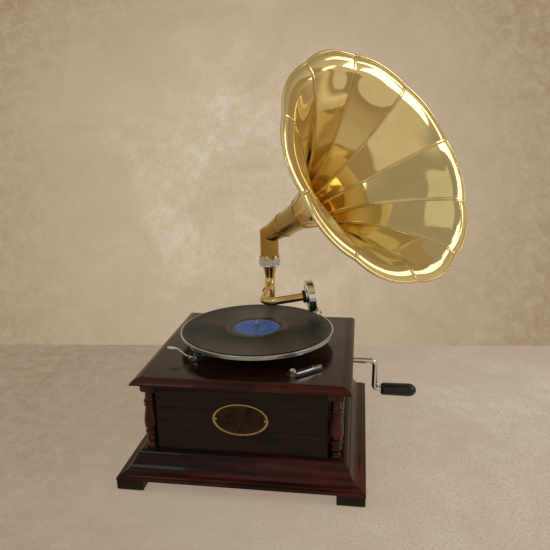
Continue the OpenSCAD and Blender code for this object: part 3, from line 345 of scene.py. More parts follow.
# The record's face, as distances from the spindle
GROOVES_IN, GROOVES_OUT = 52.5 * MM, 122.5 * MM
GROOVE_PITCH = 0.4 * MM


def record_finish(name, shellac):
    """Pressed grooves: rings that scatter the light across the turn of the record."""
    f = Finish(name)
    at = f.place()
    x, y, _ = f.split(at)
    ring = f.hypot(x, y)
    groove = f.math("SINE", f.times(ring, 2 * math.pi / GROOVE_PITCH))
    loud = f.noise(f.join(f.times(ring, 900.0), 0.0, 0.0), detail=4, rough=0.7)
    dust = f.noise(at, 700, detail=3, rough=0.7)
    smear = f.noise(at, 16, detail=4, rough=0.6, warp=0.6)
    cut = f.times(f.math("GREATER_THAN", ring, GROOVES_IN), f.math("LESS_THAN", ring, GROOVES_OUT))
    dust_tone = (0.1, 0.09, 0.075)
    tone = f.mix(f.times(cut, f.span(loud, 0.3, 0.75, 0.3, 0.6)), shellac, shaded(shellac, 1.5))
    tone = f.mix(f.times(f.span(dust, 0.6, 0.78), 0.3), tone, dust_tone)
    height = f.times(f.times(groove, cut), f.span(loud, 0.3, 0.7, 0.5, 1.0))
    around = f.node("Tangent", direction_type="RADIAL", axis="Z").outputs[0]
    return f.shade(Base_Color=tone, Roughness=f.blend(cut, 0.16, f.span(smear, 0.3, 0.7, 0.26, 0.38)),
                   Anisotropic=0.75, Tangent=around, Specular_IOR_Level=0.2, Coat_Weight=0.05,
                   Coat_Roughness=0.1, Normal=f.bump(height, 0.02 * MM))


# The rings printed on the label: radius and half of the line's width
LABEL_RINGS = ((34.5 * MM, 0.35 * MM), (13.5 * MM, 0.3 * MM))


def label_finish(name, paper):
    """A bare paper label with two plain printed rings."""
    f = Finish(name)
    at = f.place()
    x, y, _ = f.split(at)
    ring = f.hypot(x, y)
    fibre = f.noise(at, 1600, detail=3, rough=0.7)
    cloud = f.noise(at, 120, detail=4, rough=0.6)
    printed = (f.math("LESS_THAN", f.math("ABSOLUTE", f.math("SUBTRACT", ring, radius)), width)
               for radius, width in LABEL_RINGS)
    faded, ink = tuple(c * 1.35 + 0.01 for c in paper), (0.42, 0.36, 0.2)
    tone = f.mix(f.span(cloud, 0.35, 0.7), paper, faded)
    tone = f.mix(f.times(f.math("MAXIMUM", *printed), 0.8), tone, ink)
    return f.shade(Base_Color=tone, Roughness=0.55, Coat_Weight=0.1, Normal=f.bump(fibre, 0.05 * MM))


# How far out the plate's rim begins, 1 being its edge
PLATE_RIM = 0.93


def plate_finish(name, node):
    """A bare oval plate: a rubbed gold rim round a bronzed field."""
    low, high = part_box(node)
    f = Finish(name)
    middle, half = (low + high) / 2, (high - low) / 2
    x, _, z = f.split(f.place_from(middle))
    out = f.hypot(f.math("DIVIDE", x, half.x), f.math("DIVIDE", z, half.z))
    cloud = f.noise(f.place(), 90, detail=4, rough=0.6)
    tooth = f.noise(f.place(), 1500, detail=3, rough=0.7)
    gold = f.mix(f.span(cloud, 0.35, 0.7), (0.66, 0.48, 0.2), (0.42, 0.29, 0.11))
    field = f.mix(f.span(cloud, 0.35, 0.7), (0.03, 0.021, 0.016), (0.075, 0.047, 0.03))
    rim = f.math("GREATER_THAN", f.add(out, f.times(cloud, 0.01)), PLATE_RIM)
    rough = f.blend(rim, 0.46, f.span(cloud, 0.3, 0.7, 0.2, 0.34))
    return f.shade(Metallic=1.0, Base_Color=f.mix(rim, field, gold), Roughness=rough,
                   Normal=f.bump(tooth, 0.04 * MM, f.soft_edge(0.3 * MM)))


def apply_finish(material, *nodes):
    """Gives these nodes of the frame one material."""
    for node in nodes:
        if node not in NODES:
            raise RuntimeError(f"the frame has no piece named {node}")
        slots = NODES[node].data.materials
        slots.clear()
        slots.append(material)


# Mesh helpers

def new_piece(name, verts, faces, material, smooth=True):
    """Makes a mesh piece and puts it in the scene."""
    mesh = bpy.data.meshes.new(name)
    mesh.from_pydata([tuple(v) for v in verts], [], faces)
    mesh.update()
    mesh.materials.append(material)
    for polygon in mesh.polygons:
        polygon.use_smooth = smooth
    piece = bpy.data.objects.new(name, mesh)
    bpy.context.scene.collection.objects.link(piece)
    return piece


def seat(piece, body, slot, *nodes):
    """The piece rides on its body, and stands for these nodes of the frame."""
    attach(piece, body)
    if nodes:
        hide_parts(*nodes)
    return piece


def lathe(name, outline, steps, material, centre):
    """Turns a closed outline of [radius, height] about the upright axis through a centre."""
    verts, faces = [], []
    count = len(outline)
    for step in range(steps):
        a = 2 * math.pi * step / steps
        verts += [(r * math.cos(a), r * math.sin(a), z) for r, z in outline]
        here, there = step * count, (step + 1) % steps * count
        for i in range(count):
            j = (i + 1) % count
            faces.append((here + i, there + i, there + j, here + j))
    piece = new_piece(name, verts, faces, material)
    piece.location = (centre.x, centre.y, 0)
    return piece


def hard_corners(piece, angle=30):
    """Keeps the arrises crisp where faces meet at more than the angle, and at open edges."""
    limit = math.radians(angle)
    mesh = piece.data
    normals = {}
    for polygon in mesh.polygons:
        for key in polygon.edge_keys:
            normals.setdefault(key, []).append(polygon.normal.copy())
    for edge in mesh.edges:
        pair = normals.get(tuple(sorted(edge.vertices)), [])
        edge.use_edge_sharp = len(pair) != 2 or pair[0].angle(pair[1], 0) > limit
    return piece


# Cabinet

class GRAMOPHONE_OT_cabinet(bpy.types.Operator):
    """Finishes the case, its mouldings, feet and columns"""
    bl_idname = "gramophone.cabinet"
    bl_label = "Cabinet"
    bl_options = {"REGISTER", "UNDO"}

    def execute(self, context):
        tones = context.scene.gramophone_cabinet
        # The mouldings and the turned columns get lighter copies of the mahogany through lift: painted light
        moulding = mahogany("mahogany_moulding", "frame", tones, gloss=0.16, dull=0.2, lift=1.7)
        apply_finish(moulding, "plinth_moulding", "lid_moulding")
        board = mahogany("mahogany_board", "x", tones, gloss=0.3, dull=0.22, scale=0.8)
        apply_finish(board, "motor_board")
        turned = mahogany("mahogany_turned", "z", tones, gloss=0.5, dull=0.26, scale=1.6, lift=2.2)
        apply_finish(turned, "corner_columns", "corner_posts")
        apply_finish(panel_finish("dark_panel", tones), "case_panels", "bottom_board", "feet")
        return {"FINISHED"}


class GRAMOPHONE_OT_front_plate(bpy.types.Operator):
    """Finishes the bare oval plate and the screws"""
    bl_idname = "gramophone.front_plate"
    bl_label = "Front plate and screws"
    bl_options = {"REGISTER", "UNDO"}

    def execute(self, context):
        apply_finish(plate_finish("bronzed_plate", "front_plate"), "front_plate")
        apply_finish(metal("screw_steel", (0.55, 0.53, 0.5), (0.2, 0.18, 0.16), (0.2, 0.38)), "screws")
        return {"FINISHED"}


# Motor

class GRAMOPHONE_OT_motor(bpy.types.Operator):
    """Finishes the spring motor inside the case, and everything made of rubber"""
    bl_idname = "gramophone.motor"
    bl_label = "Spring motor"
    bl_options = {"REGISTER", "UNDO"}

    def execute(self, context):
        gear = metal("gear_brass", (0.72, 0.5, 0.2), (0.3, 0.18, 0.07), (0.2, 0.36))
        steel = metal("motor_steel", (0.5, 0.5, 0.52), (0.22, 0.21, 0.2), (0.25, 0.42))
        blued = metal("blued_spring", (0.12, 0.17, 0.32), (0.05, 0.06, 0.09), (0.22, 0.36))
        apply_finish(gear, "spring_barrel", "barrel_lid", "crown_wheel", "transfer_gear", "worm_wheel",
                     "governor_weights", "crank_bush")
        apply_finish(steel, "motor_top_plate", "motor_low_plate", "motor_pillars", "barrel_arbor", "click",
                     "winding_shaft", "turntable_spindle", "governor_shaft", "governor_arm")
        apply_finish(blued, "mainspring")
        rubber = soft_finish("mount_rubber", (0.012, 0.012, 0.013), (0.03, 0.03, 0.03))
        apply_finish(rubber, "motor_mounts", "box_hub", "box_gaskets")
        return {"FINISHED"}


# Turntable

# Bands cut in the record's face: outer and inner radius, depth and the width of each slope
RECORD_BANDS = ((122.2 * MM, 52.7 * MM, 0.12 * MM, 0.4 * MM),
                (49.9 * MM, 49.3 * MM, 0.2 * MM, 0.3 * MM),
                (44.5 * MM, 44.0 * MM, 0.2 * MM, 0.3 * MM))
SPINDLE_HOLE = 3.65 * MM
RECORD_STEPS, LABEL_STEPS = 256, 160
LABEL_RADIUS = 38 * MM
LABEL_SINK = 0.3 * MM


def record_outline(radius, under, top):
    """The pressed record: a rounded rim, the grooved band, two run-out rings and the label's seat."""
    middle, inset, drop = (top + under) / 2, 0.3 * MM, 0.5 * MM
    outline = [(SPINDLE_HOLE, under), (radius - 1.2 * MM, under), (radius - inset, under + drop),
               (radius, middle), (radius - inset, top - drop), (radius - 1.2 * MM, top)]
    for outer, inner, depth, slope in RECORD_BANDS:
        outline += [(outer + slope, top), (outer, top - depth), (inner, top - depth), (inner - slope, top)]
    return outline + [(LABEL_RADIUS + 1.2 * MM, top), (LABEL_RADIUS + 0.4 * MM, top - LABEL_SINK),
                      (SPINDLE_HOLE, top - LABEL_SINK)]


def label_outline(top):
    """A thick paper disc in its seat, with soft edges."""
    low, edge = top - LABEL_SINK, top - 0.1 * MM
    return [(SPINDLE_HOLE, low), (LABEL_RADIUS - 0.2 * MM, low), (LABEL_RADIUS, edge),
            (LABEL_RADIUS - 0.3 * MM, top), (SPINDLE_HOLE + 0.2 * MM, top), (SPINDLE_HOLE, edge)]


class GRAMOPHONE_OT_turntable(bpy.types.Operator):
    """Makes the grooved record and its label, and finishes the platter and mat"""
    bl_idname = "gramophone.turntable"
    bl_label = "Turntable and record"
    bl_options = {"REGISTER", "UNDO"}

    def execute(self, context):
        tones = context.scene.gramophone_turntable
        low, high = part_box("record")
        outline = record_outline((high.x - low.x) / 2, low.z, high.z)
        shellac = record_finish("pressed_shellac", tones.shellac)
        disc = hard_corners(lathe("grooved_record", outline, RECORD_STEPS, shellac, SPINDLE))
        seat(disc, "turntable", "record_black", "record")
        paper = label_finish("label_paper", tones.paper)
        label = hard_corners(lathe("bare_label", label_outline(high.z), LABEL_STEPS, paper, SPINDLE))
        seat(label, "turntable", "label_paper", "record_label")
        apply_finish(metal("rim_metal", (0.58, 0.58, 0.57), (0.3, 0.29, 0.27), (0.1, 0.22)), "platter")
        felt = soft_finish("mat_felt", (0.02, 0.06, 0.03), (0.04, 0.1, 0.05), rough=0.95, grain=2600,
                           depth=0.2 * MM, sheen=0.4)
        apply_finish(felt, "platter_mat")
        return {"FINISHED"}


# Controls and arm

class GRAMOPHONE_OT_controls(bpy.types.Operator):
    """Finishes the brake, the regulator, the crank, the collar and the sound box"""
    bl_idname = "gramophone.controls"
    bl_label = "Brake, regulator, crank and sound box"
    bl_options = {"REGISTER", "UNDO"}

    def execute(self, context):
        chrome = metal("chrome", (0.78, 0.78, 0.79), (0.42, 0.4, 0.38), (0.05, 0.14),
                       scratch=0.006 * MM, grime=0.35)
        steel = metal("plate_steel", (0.24, 0.23, 0.21), (0.08, 0.07, 0.06), (0.22, 0.4))
        apply_finish(chrome, "brake_lever", "speed_lever", "crank_rod", "collar", "arm_retainer", "box_back",
                     "box_ring", "ring_screws", "stylus_bar", "needle_screw")
        apply_finish(steel, "brake_base", "brake_spring", "speed_plate", "needle")
        apply_finish(soft_finish("pad_leather", (0.2, 0.09, 0.04), (0.3, 0.15, 0.07)), "brake_pad")
        apply_finish(mica("mica_sheet"), "diaphragm")
        apply_finish(lacquer_black("black_lacquer"), "crank_grip")
        return {"FINISHED"}


class GRAMOPHONE_OT_arm(bpy.types.Operator):
    """Finishes the bracket, the tone arm and the elbow"""
    bl_idname = "gramophone.arm"
    bl_label = "Bracket, arm and elbow"
    bl_options = {"REGISTER", "UNDO"}

    def execute(self, context):
        tones = context.scene.gramophone_horn
        arm = metal("arm_brass", (0.76, 0.57, 0.22), (0.42, 0.26, 0.07), (0.14, 0.28), waves=0.02 * MM)
        apply_finish(arm, "tone_arm", "gooseneck", "back_bracket")
        elbow = metal("elbow_brass", tones.dark_brass, (0.28, 0.16, 0.04), (0.16, 0.32), waves=0.05 * MM)
        apply_finish(elbow, "elbow")
        return {"FINISHED"}


# Horn

# How the horn stands: turned about the upright from facing front, and tipped up from level
HORN_TURN, HORN_RISE = math.radians(49), math.radians(28.3)
# How high the elbow's mitre is, and where the first seam is round the bell
ELBOW_MITRE = 326 * MM
PETALS, FIRST_SEAM = 10, math.radians(9.9)

# The bell's outline: distances along its axis from the elbow's mitre, and radii out from it
BAND_T, PETAL_T, MOUTH_T = 50 * MM, 112 * MM, 300 * MM
NECK_R, CREASE_R, MOUTH_R = 20.6 * MM, 156.5 * MM, 181.2 * MM
FLARE = 2.1
LIP_SLOPE, LIP_BOW = 0.231, 1.8 * MM
# How far the scallops stand out, and where they begin as a share of the crease's radius
SCALLOP, SCALLOP_START = 4.4 * MM, 0.8

# The sheet's thickness and the radius of the rolled rim
SHEET, RIM_RADIUS = 1.2 * MM, 2.2 * MM
# How far the painted shade in the throat goes from the neck band, and its tone
THROAT_SHADE_REACH, THROAT_SHADE_TONE = 190 * MM, (0.56, 0.3, 0.05)
# Faces along and across a petal, steps along the curve of the bell and of the lip, and faces along a
# scallop of the rim and round its section
PETAL_ROWS, PETAL_COLUMNS = 72, 18
BELL_STEPS, LIP_STEPS = 200, 40
RIM_STEPS, ROUND_STEPS = 36, 14

# How much of the way to its seams a petal reaches
PETAL_SHARE = 0.9995
# How far out from the neck a petal is as flat, and as uneven, as it gets
FLAT_REACH, UNEVEN_REACH = 30 * MM, 50 * MM
# Waves to a metre in the sheet, and how much a petal may lean to one seam
BROAD_WAVES, FINE_WAVES, LEAN = 13, 40, 0.7 * MM
# A seam's full width is reached this far out; nearer the neck it is narrower
SEAM_REACH, SEAM_LEAST = 90 * MM, 0.55
# Half of a seam's section in mm, from its foot to its middle: two low beads with a flat between
SEAM_HALF = ((3.1, -0.1), (3.0, 0.5), (2.7, 0.9), (2.3, 0.95), (1.9, 0.7), (1.5, 0.55))


def clipped(value, low, high):
    return min(max(value, low), high)


class HornForm:
    """The bell's curve, in the horn's own frame: t along its axis from the elbow's mitre, r out from it."""

    def __init__(self, flatness):
        self.flatness = flatness
        self.crease_t = MOUTH_T - LIP_SLOPE * (MOUTH_R - CREASE_R)
        self.half = math.pi / PETALS
        middle = MOUTH_R + SCALLOP
        self.lobe_d = (middle ** 2 - MOUTH_R ** 2) / (2 * (middle - MOUTH_R * math.cos(self.half)))
        self.lobe_r = middle - self.lobe_d
        collar_low, collar_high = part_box("collar")
        origin = Vector((CENTRE.x, (collar_low.y + collar_high.y) / 2, ELBOW_MITRE))
        self.matrix = (Matrix.Translation(origin) @ Matrix.Rotation(HORN_TURN, 4, "Z")
                       @ Matrix.Rotation(math.radians(90) - HORN_RISE, 4, "X"))

    def point(self, r, t, a):
        return self.matrix @ Vector((r * math.cos(a), r * math.sin(a), t))

    def bell(self, t):
        """The radius at t, up to the crease."""
        return NECK_R + (CREASE_R - NECK_R) * ((t - BAND_T) / (self.crease_t - BAND_T)) ** FLARE

    def lobe(self, a):
        """How far the edge stands out at the angle a from a petal's middle, against a seam."""
        out = self.lobe_d * math.cos(a) + math.sqrt(self.lobe_r ** 2 - (self.lobe_d * math.sin(a)) ** 2)
        return out / MOUTH_R

    def across(self, a, r):
        """The petal from seam to seam at the radius r: nearly flat in the bell, scalloped at the lip."""
        flat = math.cos(self.half) / math.cos(a)
        bell = 1 + (flat - 1) * self.flatness * min(1, (r - NECK_R) / FLAT_REACH)
        w = clipped((r - SCALLOP_START * CREASE_R) / ((1 - SCALLOP_START) * CREASE_R), 0, 1)
        return bell + (self.lobe(a) - bell) * w * w * (3 - 2 * w)

    def profile(self, count, rounding):
        """Points [r, t] from the petals' start to the lip at even steps, and their outward normals.

        rounding is how far to each side of the crease the corner is softened.
        """
        run = self.crease_t - PETAL_T
        line = []
        for i in range(BELL_STEPS + 1):
            t = PETAL_T + run * i / BELL_STEPS
            line.append((self.bell(t), t))
        lip = MOUTH_R - CREASE_R
        for i in range(1, LIP_STEPS + 1):
            part = i / LIP_STEPS
            line.append((CREASE_R + lip * part, self.crease_t + LIP_SLOPE * lip * part
                         + 4 * LIP_BOW * part * (1 - part)))
        lengths = [0.0]
        for (r0, t0), (r1, t1) in zip(line, line[1:]):
            lengths.append(lengths[-1] + math.hypot(r1 - r0, t1 - t0))
        whole, crease = lengths[-1], lengths[BELL_STEPS]

        def at(s):
            s = clipped(s, 0, whole)
            i = next(k for k in range(len(lengths) - 1) if lengths[k + 1] >= s)
            f = (s - lengths[i]) / (lengths[i + 1] - lengths[i])
            return tuple(a + (b - a) * f for a, b in zip(line[i], line[i + 1]))

        points = []
        for k in range(count + 1):
            s = whole * k / count
            w = max(0.0, 1 - abs(s - crease) / rounding) * rounding * 0.5
            points.append(tuple((a + 2 * b + c) / 4 for a, b, c in zip(at(s - w), at(s), at(s + w))))
        normals = []
        for k in range(count + 1):
            (r0, t0), (r1, t1) = points[max(k - 1, 0)], points[min(k + 1, count)]
            d = math.hypot(r1 - r0, t1 - t0)
            normals.append(((t1 - t0) / d, -(r1 - r0) / d))
        return points, normals


def petal_skin(form, dents, rounding):
    """Ten petals, each a closed shell bowed between its seams and slightly uneven from hand work."""
    rows, columns = PETAL_ROWS, PETAL_COLUMNS
    points, normals = form.profile(rows, rounding)
    verts, faces = [], []
    for petal in range(PETALS):
        middle = FIRST_SEAM + form.half * (1 + 2 * petal)
        base = len(verts)
        lean = LEAN * noise.noise(Vector((petal * 3.7 + 0.4, 1.3, 0.2)))
        patch = Vector((petal * 7.3, 0, 0))
        for side in (0, 1):
            for (r, t), (nr, nt) in zip(points, normals):
                for c in range(columns + 1):
                    a = form.half * (2 * c / columns - 1) * PETAL_SHARE
                    out = form.across(a, r)
                    place = form.point(r * out, t, middle + a)
                    fade = math.cos(a / form.half * math.pi / 2) ** 0.5 * min(1, (r - NECK_R) / UNEVEN_REACH)
                    uneven = noise.noise(place * BROAD_WAVES + patch) + 0.3 * noise.noise(place * FINE_WAVES)
                    push = side * SHEET + dents * fade * uneven
                    push += lean * a / form.half * min(1, r / CREASE_R)
                    verts.append(form.point(r * out + nr * push, t + nt * push, middle + a))
        per = (rows + 1) * (columns + 1)

        def v(side, i, c):
            return base + side * per + i * (columns + 1) + c

        for i in range(rows):
            for c in range(columns):
                faces.append((v(0, i, c), v(0, i + 1, c), v(0, i + 1, c + 1), v(0, i, c + 1)))
                faces.append((v(1, i, c), v(1, i, c + 1), v(1, i + 1, c + 1), v(1, i + 1, c)))
            faces.append((v(0, i, 0), v(1, i, 0), v(1, i + 1, 0), v(0, i + 1, 0)))
            faces.append((v(0, i, columns), v(0, i + 1, columns), v(1, i + 1, columns), v(1, i, columns)))
        for c in range(columns):
            faces.append((v(0, 0, c), v(0, 0, c + 1), v(1, 0, c + 1), v(1, 0, c)))
            faces.append((v(0, rows, c), v(1, rows, c), v(1, rows, c + 1), v(0, rows, c + 1)))
    return verts, faces


def seam_folds(form, rounding):
    """A folded seam along each joint, inside and outside the bell."""
    points, normals = form.profile(PETAL_ROWS, rounding)
    section = [(-x, up) for x, up in SEAM_HALF] + list(SEAM_HALF[::-1])
    n = len(section)
    last = (PETAL_ROWS - 1) * n
    verts, faces = [], []
    for seam in range(PETALS):
        angle = FIRST_SEAM + 2 * form.half * seam
        for sign, lift in ((-1, 0.0), (1, SHEET)):
            base = len(verts)
            for (r, t), (nr, nt) in zip(points[:-1], normals[:-1]):
                wide = min(1.0, SEAM_LEAST + r / SEAM_REACH)
                for across, up in section:
                    o = lift + sign * up * MM
                    turn = across * MM * wide / r
                    out = form.across(form.half - abs(turn), r)
                    verts.append(form.point((r + nr * o) * out, t + nt * o, angle + turn))
            for row in range(base, base + last, n):
                for c in range(n):
                    d = (c + 1) % n
                    faces.append((row + c, row + n + c, row + n + d, row + d)[::sign])
            faces.append(tuple(base + c for c in range(n))[::sign])
            faces.append(tuple(base + last + c for c in range(n))[::-sign])
    return verts, faces


def rolled_rim(form):
    """The edge rolled over a wire, following the ten scallops."""
    rim_t = form.crease_t + LIP_SLOPE * (MOUTH_R + SCALLOP / 2 - CREASE_R) - 0.6 * MM
    path = []
    for petal in range(PETALS):
        middle = FIRST_SEAM + form.half * (1 + 2 * petal)
        for k in range(RIM_STEPS):
            a = form.half * (2 * k / RIM_STEPS - 1)
            path.append((MOUTH_R * form.lobe(a), middle + a))
    verts, faces = [], []
    for i, (r, angle) in enumerate(path):
        here, there = i * ROUND_STEPS, (i + 1) % len(path) * ROUND_STEPS
        for c in range(ROUND_STEPS):
            b = 2 * math.pi * c / ROUND_STEPS
            verts.append(form.point(r + RIM_RADIUS * math.cos(b), rim_t + RIM_RADIUS * math.sin(b), angle))
            d = (c + 1) % ROUND_STEPS
            faces.append((here + c, there + c, there + d, here + d))
    return verts, faces


class GRAMOPHONE_OT_horn(bpy.types.Operator):
    """Makes the petals, their seams and the rolled rim, and finishes the neck"""
    bl_idname = "gramophone.horn"
    bl_label = "Horn"
    bl_options = {"REGISTER", "UNDO"}

    def execute(self, context):
        tones = context.scene.gramophone_horn
        form = HornForm(tones.flatness)
        dark = shaded(tones.brass, 0.72, 0.62, 0.5)
        # Painted shade deep in the throat: the bell darkens and turns orange towards the neck band
        throat = (form.point(0, BAND_T, 0), THROAT_SHADE_REACH, THROAT_SHADE_TONE)
        brass = metal("horn_brass", tones.brass, dark, (0.03, 0.1), waves=0.006 * MM,
                      scratch=0.003 * MM, grime=0.25, painted_shade=throat)
        seam = metal("seam_brass", shaded(tones.brass, 0.9), shaded(dark, 0.6), (0.1, 0.22))
        petals = new_piece("petals", *petal_skin(form, tones.dents, tones.crease_round), brass)
        seat(hard_corners(petals, angle=45), "horn", "polished_brass", "horn_petals")
        folds = new_piece("seam_folds", *seam_folds(form, tones.crease_round), seam)
        seat(hard_corners(folds, angle=60), "horn", "polished_brass", "horn_seams")
        rim = new_piece("rolled_rim", *rolled_rim(form), brass)
        seat(rim, "horn", "polished_brass", "horn_rim")
        neck = metal("neck_brass", (0.6, 0.47, 0.18), (0.32, 0.23, 0.08), (0.22, 0.36), waves=0.03 * MM)
        apply_finish(neck, "horn_neck")
        return {"FINISHED"}


# Stage

# How far the floor and the wall go, and how the stage is turned about the upright
STAGE_REACH, STAGE_TURN = 4, 0.0954
# The wall leans back, so that the horn can turn past it
WALL_LEAN = math.radians(22)

# The room's own tone and how bright it is, low down and overhead
ROOM_TONE, WALL_GLOW, CEILING_GLOW = (1, 0.9, 0.76), 0.62, 0.36

DAYLIGHT = (0.98, 0.99, 1)
# Name, place, the point it is aimed at, width and height, and glow
SOFTBOXES = (("right_softbox", (1.95, -0.31, 1.22), (0.12, 0, 0.45), (1.05, 0.7), 2.6),
             ("far_softbox", (1.4, 0.3, 1.39), (0.2, -0.1, 0.42), (0.24, 0.24), 2),
             ("near_softbox", (0.66, 0.2, 0.68), (0.25, -0.1, 0.33), (0.13, 0.12), 1.8),
             ("top_softbox", (0.3, -0.9, 2.8), (0.1, 0, 0.2), (3.4, 1.8), 0.26),
             ("spark_softbox", (-0.75, -1.35, 1.25), (0, 0, 0.1), (0.22, 0.4), 3))

# The camera, fitted to the photograph: its angles, its place from the case's centre, its focal length
# and the picture's width in pixels, and its sensor's width in mm
YAW, PITCH, ROLL = 0.1459, 0.2581, -0.0158
EYE = Vector((0.16745, -0.91608, 0.53412))
FOCAL, PICTURE_WIDTH = 591.97, 550
SENSOR = 36


def plaster(name, tone, middle, reach, lit, speckle, painted_light_patch=None):
    """Trowelled plaster in cloudy tones, with painted shade that darkens them with distance from the middle,
    fully at reach.

    lit is how much of what the camera and the metal see is the light that falls on it, the rest being
    the tone itself, glowing as painted light. speckle is how strong its smallest marks are.
    painted_light_patch is a place beyond the view, how far round it the plaster is painted lighter, and how
    bright it is there: a painted pool of light for the metal to reflect. Seen from behind it lets the view
    through.
    """
    f = Finish(name)
    at = f.place()
    cloud = f.noise(at, 6, detail=8, rough=0.68, warp=0.8)
    broad = f.noise(f.stretch(at, (1, 1, 1), (3, 7, 1)), 2.6, detail=4, rough=0.55, warp=0.4)
    fine = f.noise(at, 34, detail=6, rough=0.72, warp=0.5)
    tooth = f.noise(at, 230, detail=5, rough=0.8)
    pits = f.noise(at, 420, detail=3, rough=0.6)
    # Distance from the middle, by which the painted shade darkens the plaster
    shade_distance = f.distance(at, middle)
    base = f.mix(f.span(cloud, 0.36, 0.66), shaded(tone, 1.09, 1.1, 1.1), shaded(tone, 0.84, 0.81, 0.77))
    # Each coat: its pattern, where that begins and is full, how strong the coat is, and its tone. The coat
    # by distance from the middle is painted shade.
    coats = ((broad, 0.44, 0.64, 0.8, (0.96, 0.86, 0.79)),
             (shade_distance, 0.22, reach, 1.0, (0.5, 0.41, 0.31)),
             (fine, 0.38, 0.66, 0.6, (0.78, 0.74, 0.69)),
             (tooth, 0.44, 0.64, speckle, (0.7, 0.65, 0.58)),
             (pits, 0.6, 0.68, speckle, (0.5, 0.44, 0.37)))
    for pattern, begins, full, strength, parts in coats:
        base = f.mix(f.span(pattern, begins, full, 0, strength), base, shaded(tone, *parts))
    # Painted light: the plaster is lighter round a place beyond the view, for the metal to reflect
    if painted_light_patch:
        place, spread, bright = painted_light_patch
        base = f.mix(f.span(f.distance(at, place), 0.1 * spread, spread, 1, 0), base, shaded(tone, bright))
    f.shade(Base_Color=base, Roughness=0.75, Specular_IOR_Level=0.15, Normal=f.bump(tooth, 0.6 * MM))
    path = f.node("LightPath").outputs
    seen = f.math("MAXIMUM", f.math("MAXIMUM", path["Is Camera Ray"], path["Is Glossy Ray"]),
                  path["Is Transmission Ray"])
    # Painted light: for the camera and for reflections the plaster glows with its tones, unlit
    own = f.node("Emission", base, 1.0).outputs[0]
    front = f.node("MixShader", f.times(seen, 1 - lit), f.shader.outputs[0], own).outputs[0]
    behind = f.node("NewGeometry").outputs["Backfacing"]
    clear = f.node("BsdfTransparent").outputs[0]
    f.put(f.output.inputs[0], f.node("MixShader", behind, front, clear).outputs[0])
    return f.material


def studio_world(name, tone, low_glow, high_glow):
    """The room round the stage: light walls and a dimmer ceiling."""
    world = bpy.data.worlds.new(name)
    world.use_nodes = True
    tree = world.node_tree
    sky = tree.nodes["Background"]
    way = tree.nodes.new("ShaderNodeTexCoord")
    split = tree.nodes.new("ShaderNodeSeparateXYZ")
    ramp = tree.nodes.new("ShaderNodeMapRange")
    tree.links.new(way.outputs["Generated"], split.inputs[0])
    tree.links.new(split.outputs[2], ramp.inputs["Value"])
    # How high the view looks where the walls begin to dim, and where the ceiling is reached
    wall_top, ceiling = 0.3, 0.62
    for socket, value in (("From Min", wall_top), ("From Max", ceiling),
                          ("To Min", low_glow), ("To Max", high_glow)):
        ramp.inputs[socket].default_value = value
    sky.inputs[0].default_value = (*tone, 1)
    tree.links.new(ramp.outputs[0], sky.inputs[1])
    return world


def softbox(name, at, aim, size, glow):
    """A rectangular light. glow is how bright its face looks, 1 being white paper in full light."""
    data = bpy.data.lights.new(name, "AREA")
    data.shape, data.size, data.size_y = "RECTANGLE", *size
    data.energy, data.color = glow * math.pi * size[0] * size[1], DAYLIGHT
    lamp = bpy.data.objects.new(name, data)
    lamp.location = at
    lamp.rotation_euler = (Vector(aim) - Vector(at)).to_track_quat("-Z", "Y").to_euler()
    bpy.context.scene.collection.objects.link(lamp)


def photo_camera():
    """The photograph's viewpoint."""
    forward = Vector((-math.sin(YAW) * math.cos(PITCH), math.cos(YAW) * math.cos(PITCH), -math.sin(PITCH)))
    level = Vector((math.cos(YAW), math.sin(YAW), 0))
    upright = level.cross(forward)
    right = math.cos(ROLL) * level + math.sin(ROLL) * upright
    up = -math.sin(ROLL) * level + math.cos(ROLL) * upright
    data = bpy.data.cameras.new("photo_camera")
    data.sensor_width, data.lens = SENSOR, SENSOR * FOCAL / PICTURE_WIDTH
    data.clip_start, data.clip_end = 0.05, 20
    camera = bpy.data.objects.new("photo_camera", data)
    turn = Matrix((right, up, -forward)).transposed().to_4x4()
    camera.matrix_world = Matrix.Translation(EYE + CENTRE) @ turn
    bpy.context.scene.collection.objects.link(camera)
    return camera


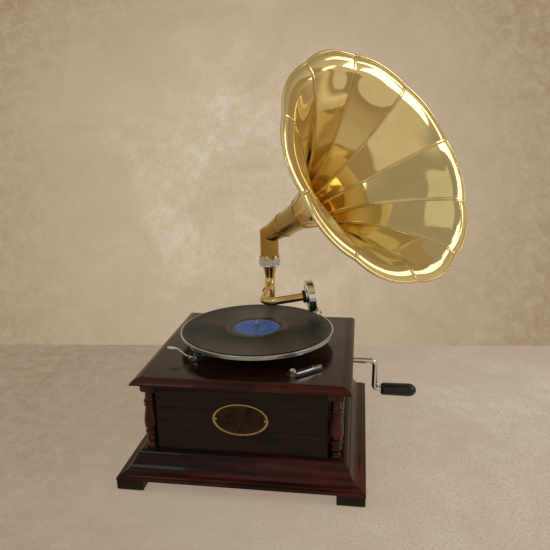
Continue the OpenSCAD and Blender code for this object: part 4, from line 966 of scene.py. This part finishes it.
class GRAMOPHONE_OT_stage(bpy.types.Operator):
    """Lays the floor and wall, hangs the lights and sets the camera"""
    bl_idname = "gramophone.stage"
    bl_label = "Stage"
    bl_options = {"REGISTER", "UNDO"}

    def execute(self, context):
        scene = context.scene
        settings = scene.gramophone_stage
        y, far = settings.wall_distance, STAGE_REACH
        # The floor carries painted shade, darkening with distance from a spot to the right of the case
        floor_paint = plaster("floor_paint", settings.floor, (0.45, -0.05, 0), 1.05, lit=0.5, speckle=0.9)
        floor = new_piece("floor", [(-far, -far, 0), (far, -far, 0), (far, y, 0), (-far, y, 0)],
                          [(0, 1, 2, 3)], floor_paint, smooth=False)
        back = y + far * math.tan(WALL_LEAN)
        # The wall carries painted shade, darkening with distance from its middle, and a painted pool of
        # light off to the right
        wall_paint = plaster("wall_paint", settings.wall, (-0.12, y + 0.16, 0.41), 0.82, lit=0.1,
                             speckle=0.4, painted_light_patch=((2.0, y, 0.2), 1.2, 1.2))
        wall = new_piece("wall", [(-far, y, 0), (far, y, 0), (far, back, far), (-far, back, far)],
                         [(0, 1, 2, 3)], wall_paint, smooth=False)
        for part in (floor, wall):
            part.matrix_world = Matrix.Rotation(STAGE_TURN, 4, "Z")
        level = settings.light_level
        for name, at, aim, size, glow in SOFTBOXES:
            softbox(name, at, aim, size, glow * level)
        scene.world = studio_world("studio", ROOM_TONE, WALL_GLOW * level, CEILING_GLOW * level)
        scene.camera = photo_camera()
        scene.view_settings.view_transform = "Standard"
        return {"FINISHED"}


# Add-on

OPERATORS = (GRAMOPHONE_OT_stage, GRAMOPHONE_OT_cabinet, GRAMOPHONE_OT_front_plate, GRAMOPHONE_OT_motor,
             GRAMOPHONE_OT_turntable, GRAMOPHONE_OT_controls, GRAMOPHONE_OT_arm, GRAMOPHONE_OT_horn)


class GRAMOPHONE_PT_panel(bpy.types.Panel):
    """Lists the sizes and colours, and the pieces to make"""
    bl_label = "Gramophone"
    bl_space_type = "VIEW_3D"
    bl_region_type = "UI"
    bl_category = "Gramophone"

    def draw(self, context):
        for key, group in GROUPS.items():
            settings = getattr(context.scene, key)
            for field in group.__annotations__:
                self.layout.prop(settings, field)
        for operator in OPERATORS:
            self.layout.operator(operator.bl_idname)


def register():
    for kind in (*GROUPS.values(), *OPERATORS, GRAMOPHONE_PT_panel):
        bpy.utils.register_class(kind)
    for key, group in GROUPS.items():
        setattr(bpy.types.Scene, key, PointerProperty(type=group))


def unregister():
    for key in GROUPS:
        delattr(bpy.types.Scene, key)
    for kind in (GRAMOPHONE_PT_panel, *reversed(OPERATORS), *reversed(GROUPS.values())):
        bpy.utils.unregister_class(kind)


def main():
    register()
    for operator in OPERATORS:
        part = operator.bl_idname.split(".")[1]
        getattr(bpy.ops.gramophone, part)()


if __name__ == "__main__":
    main()
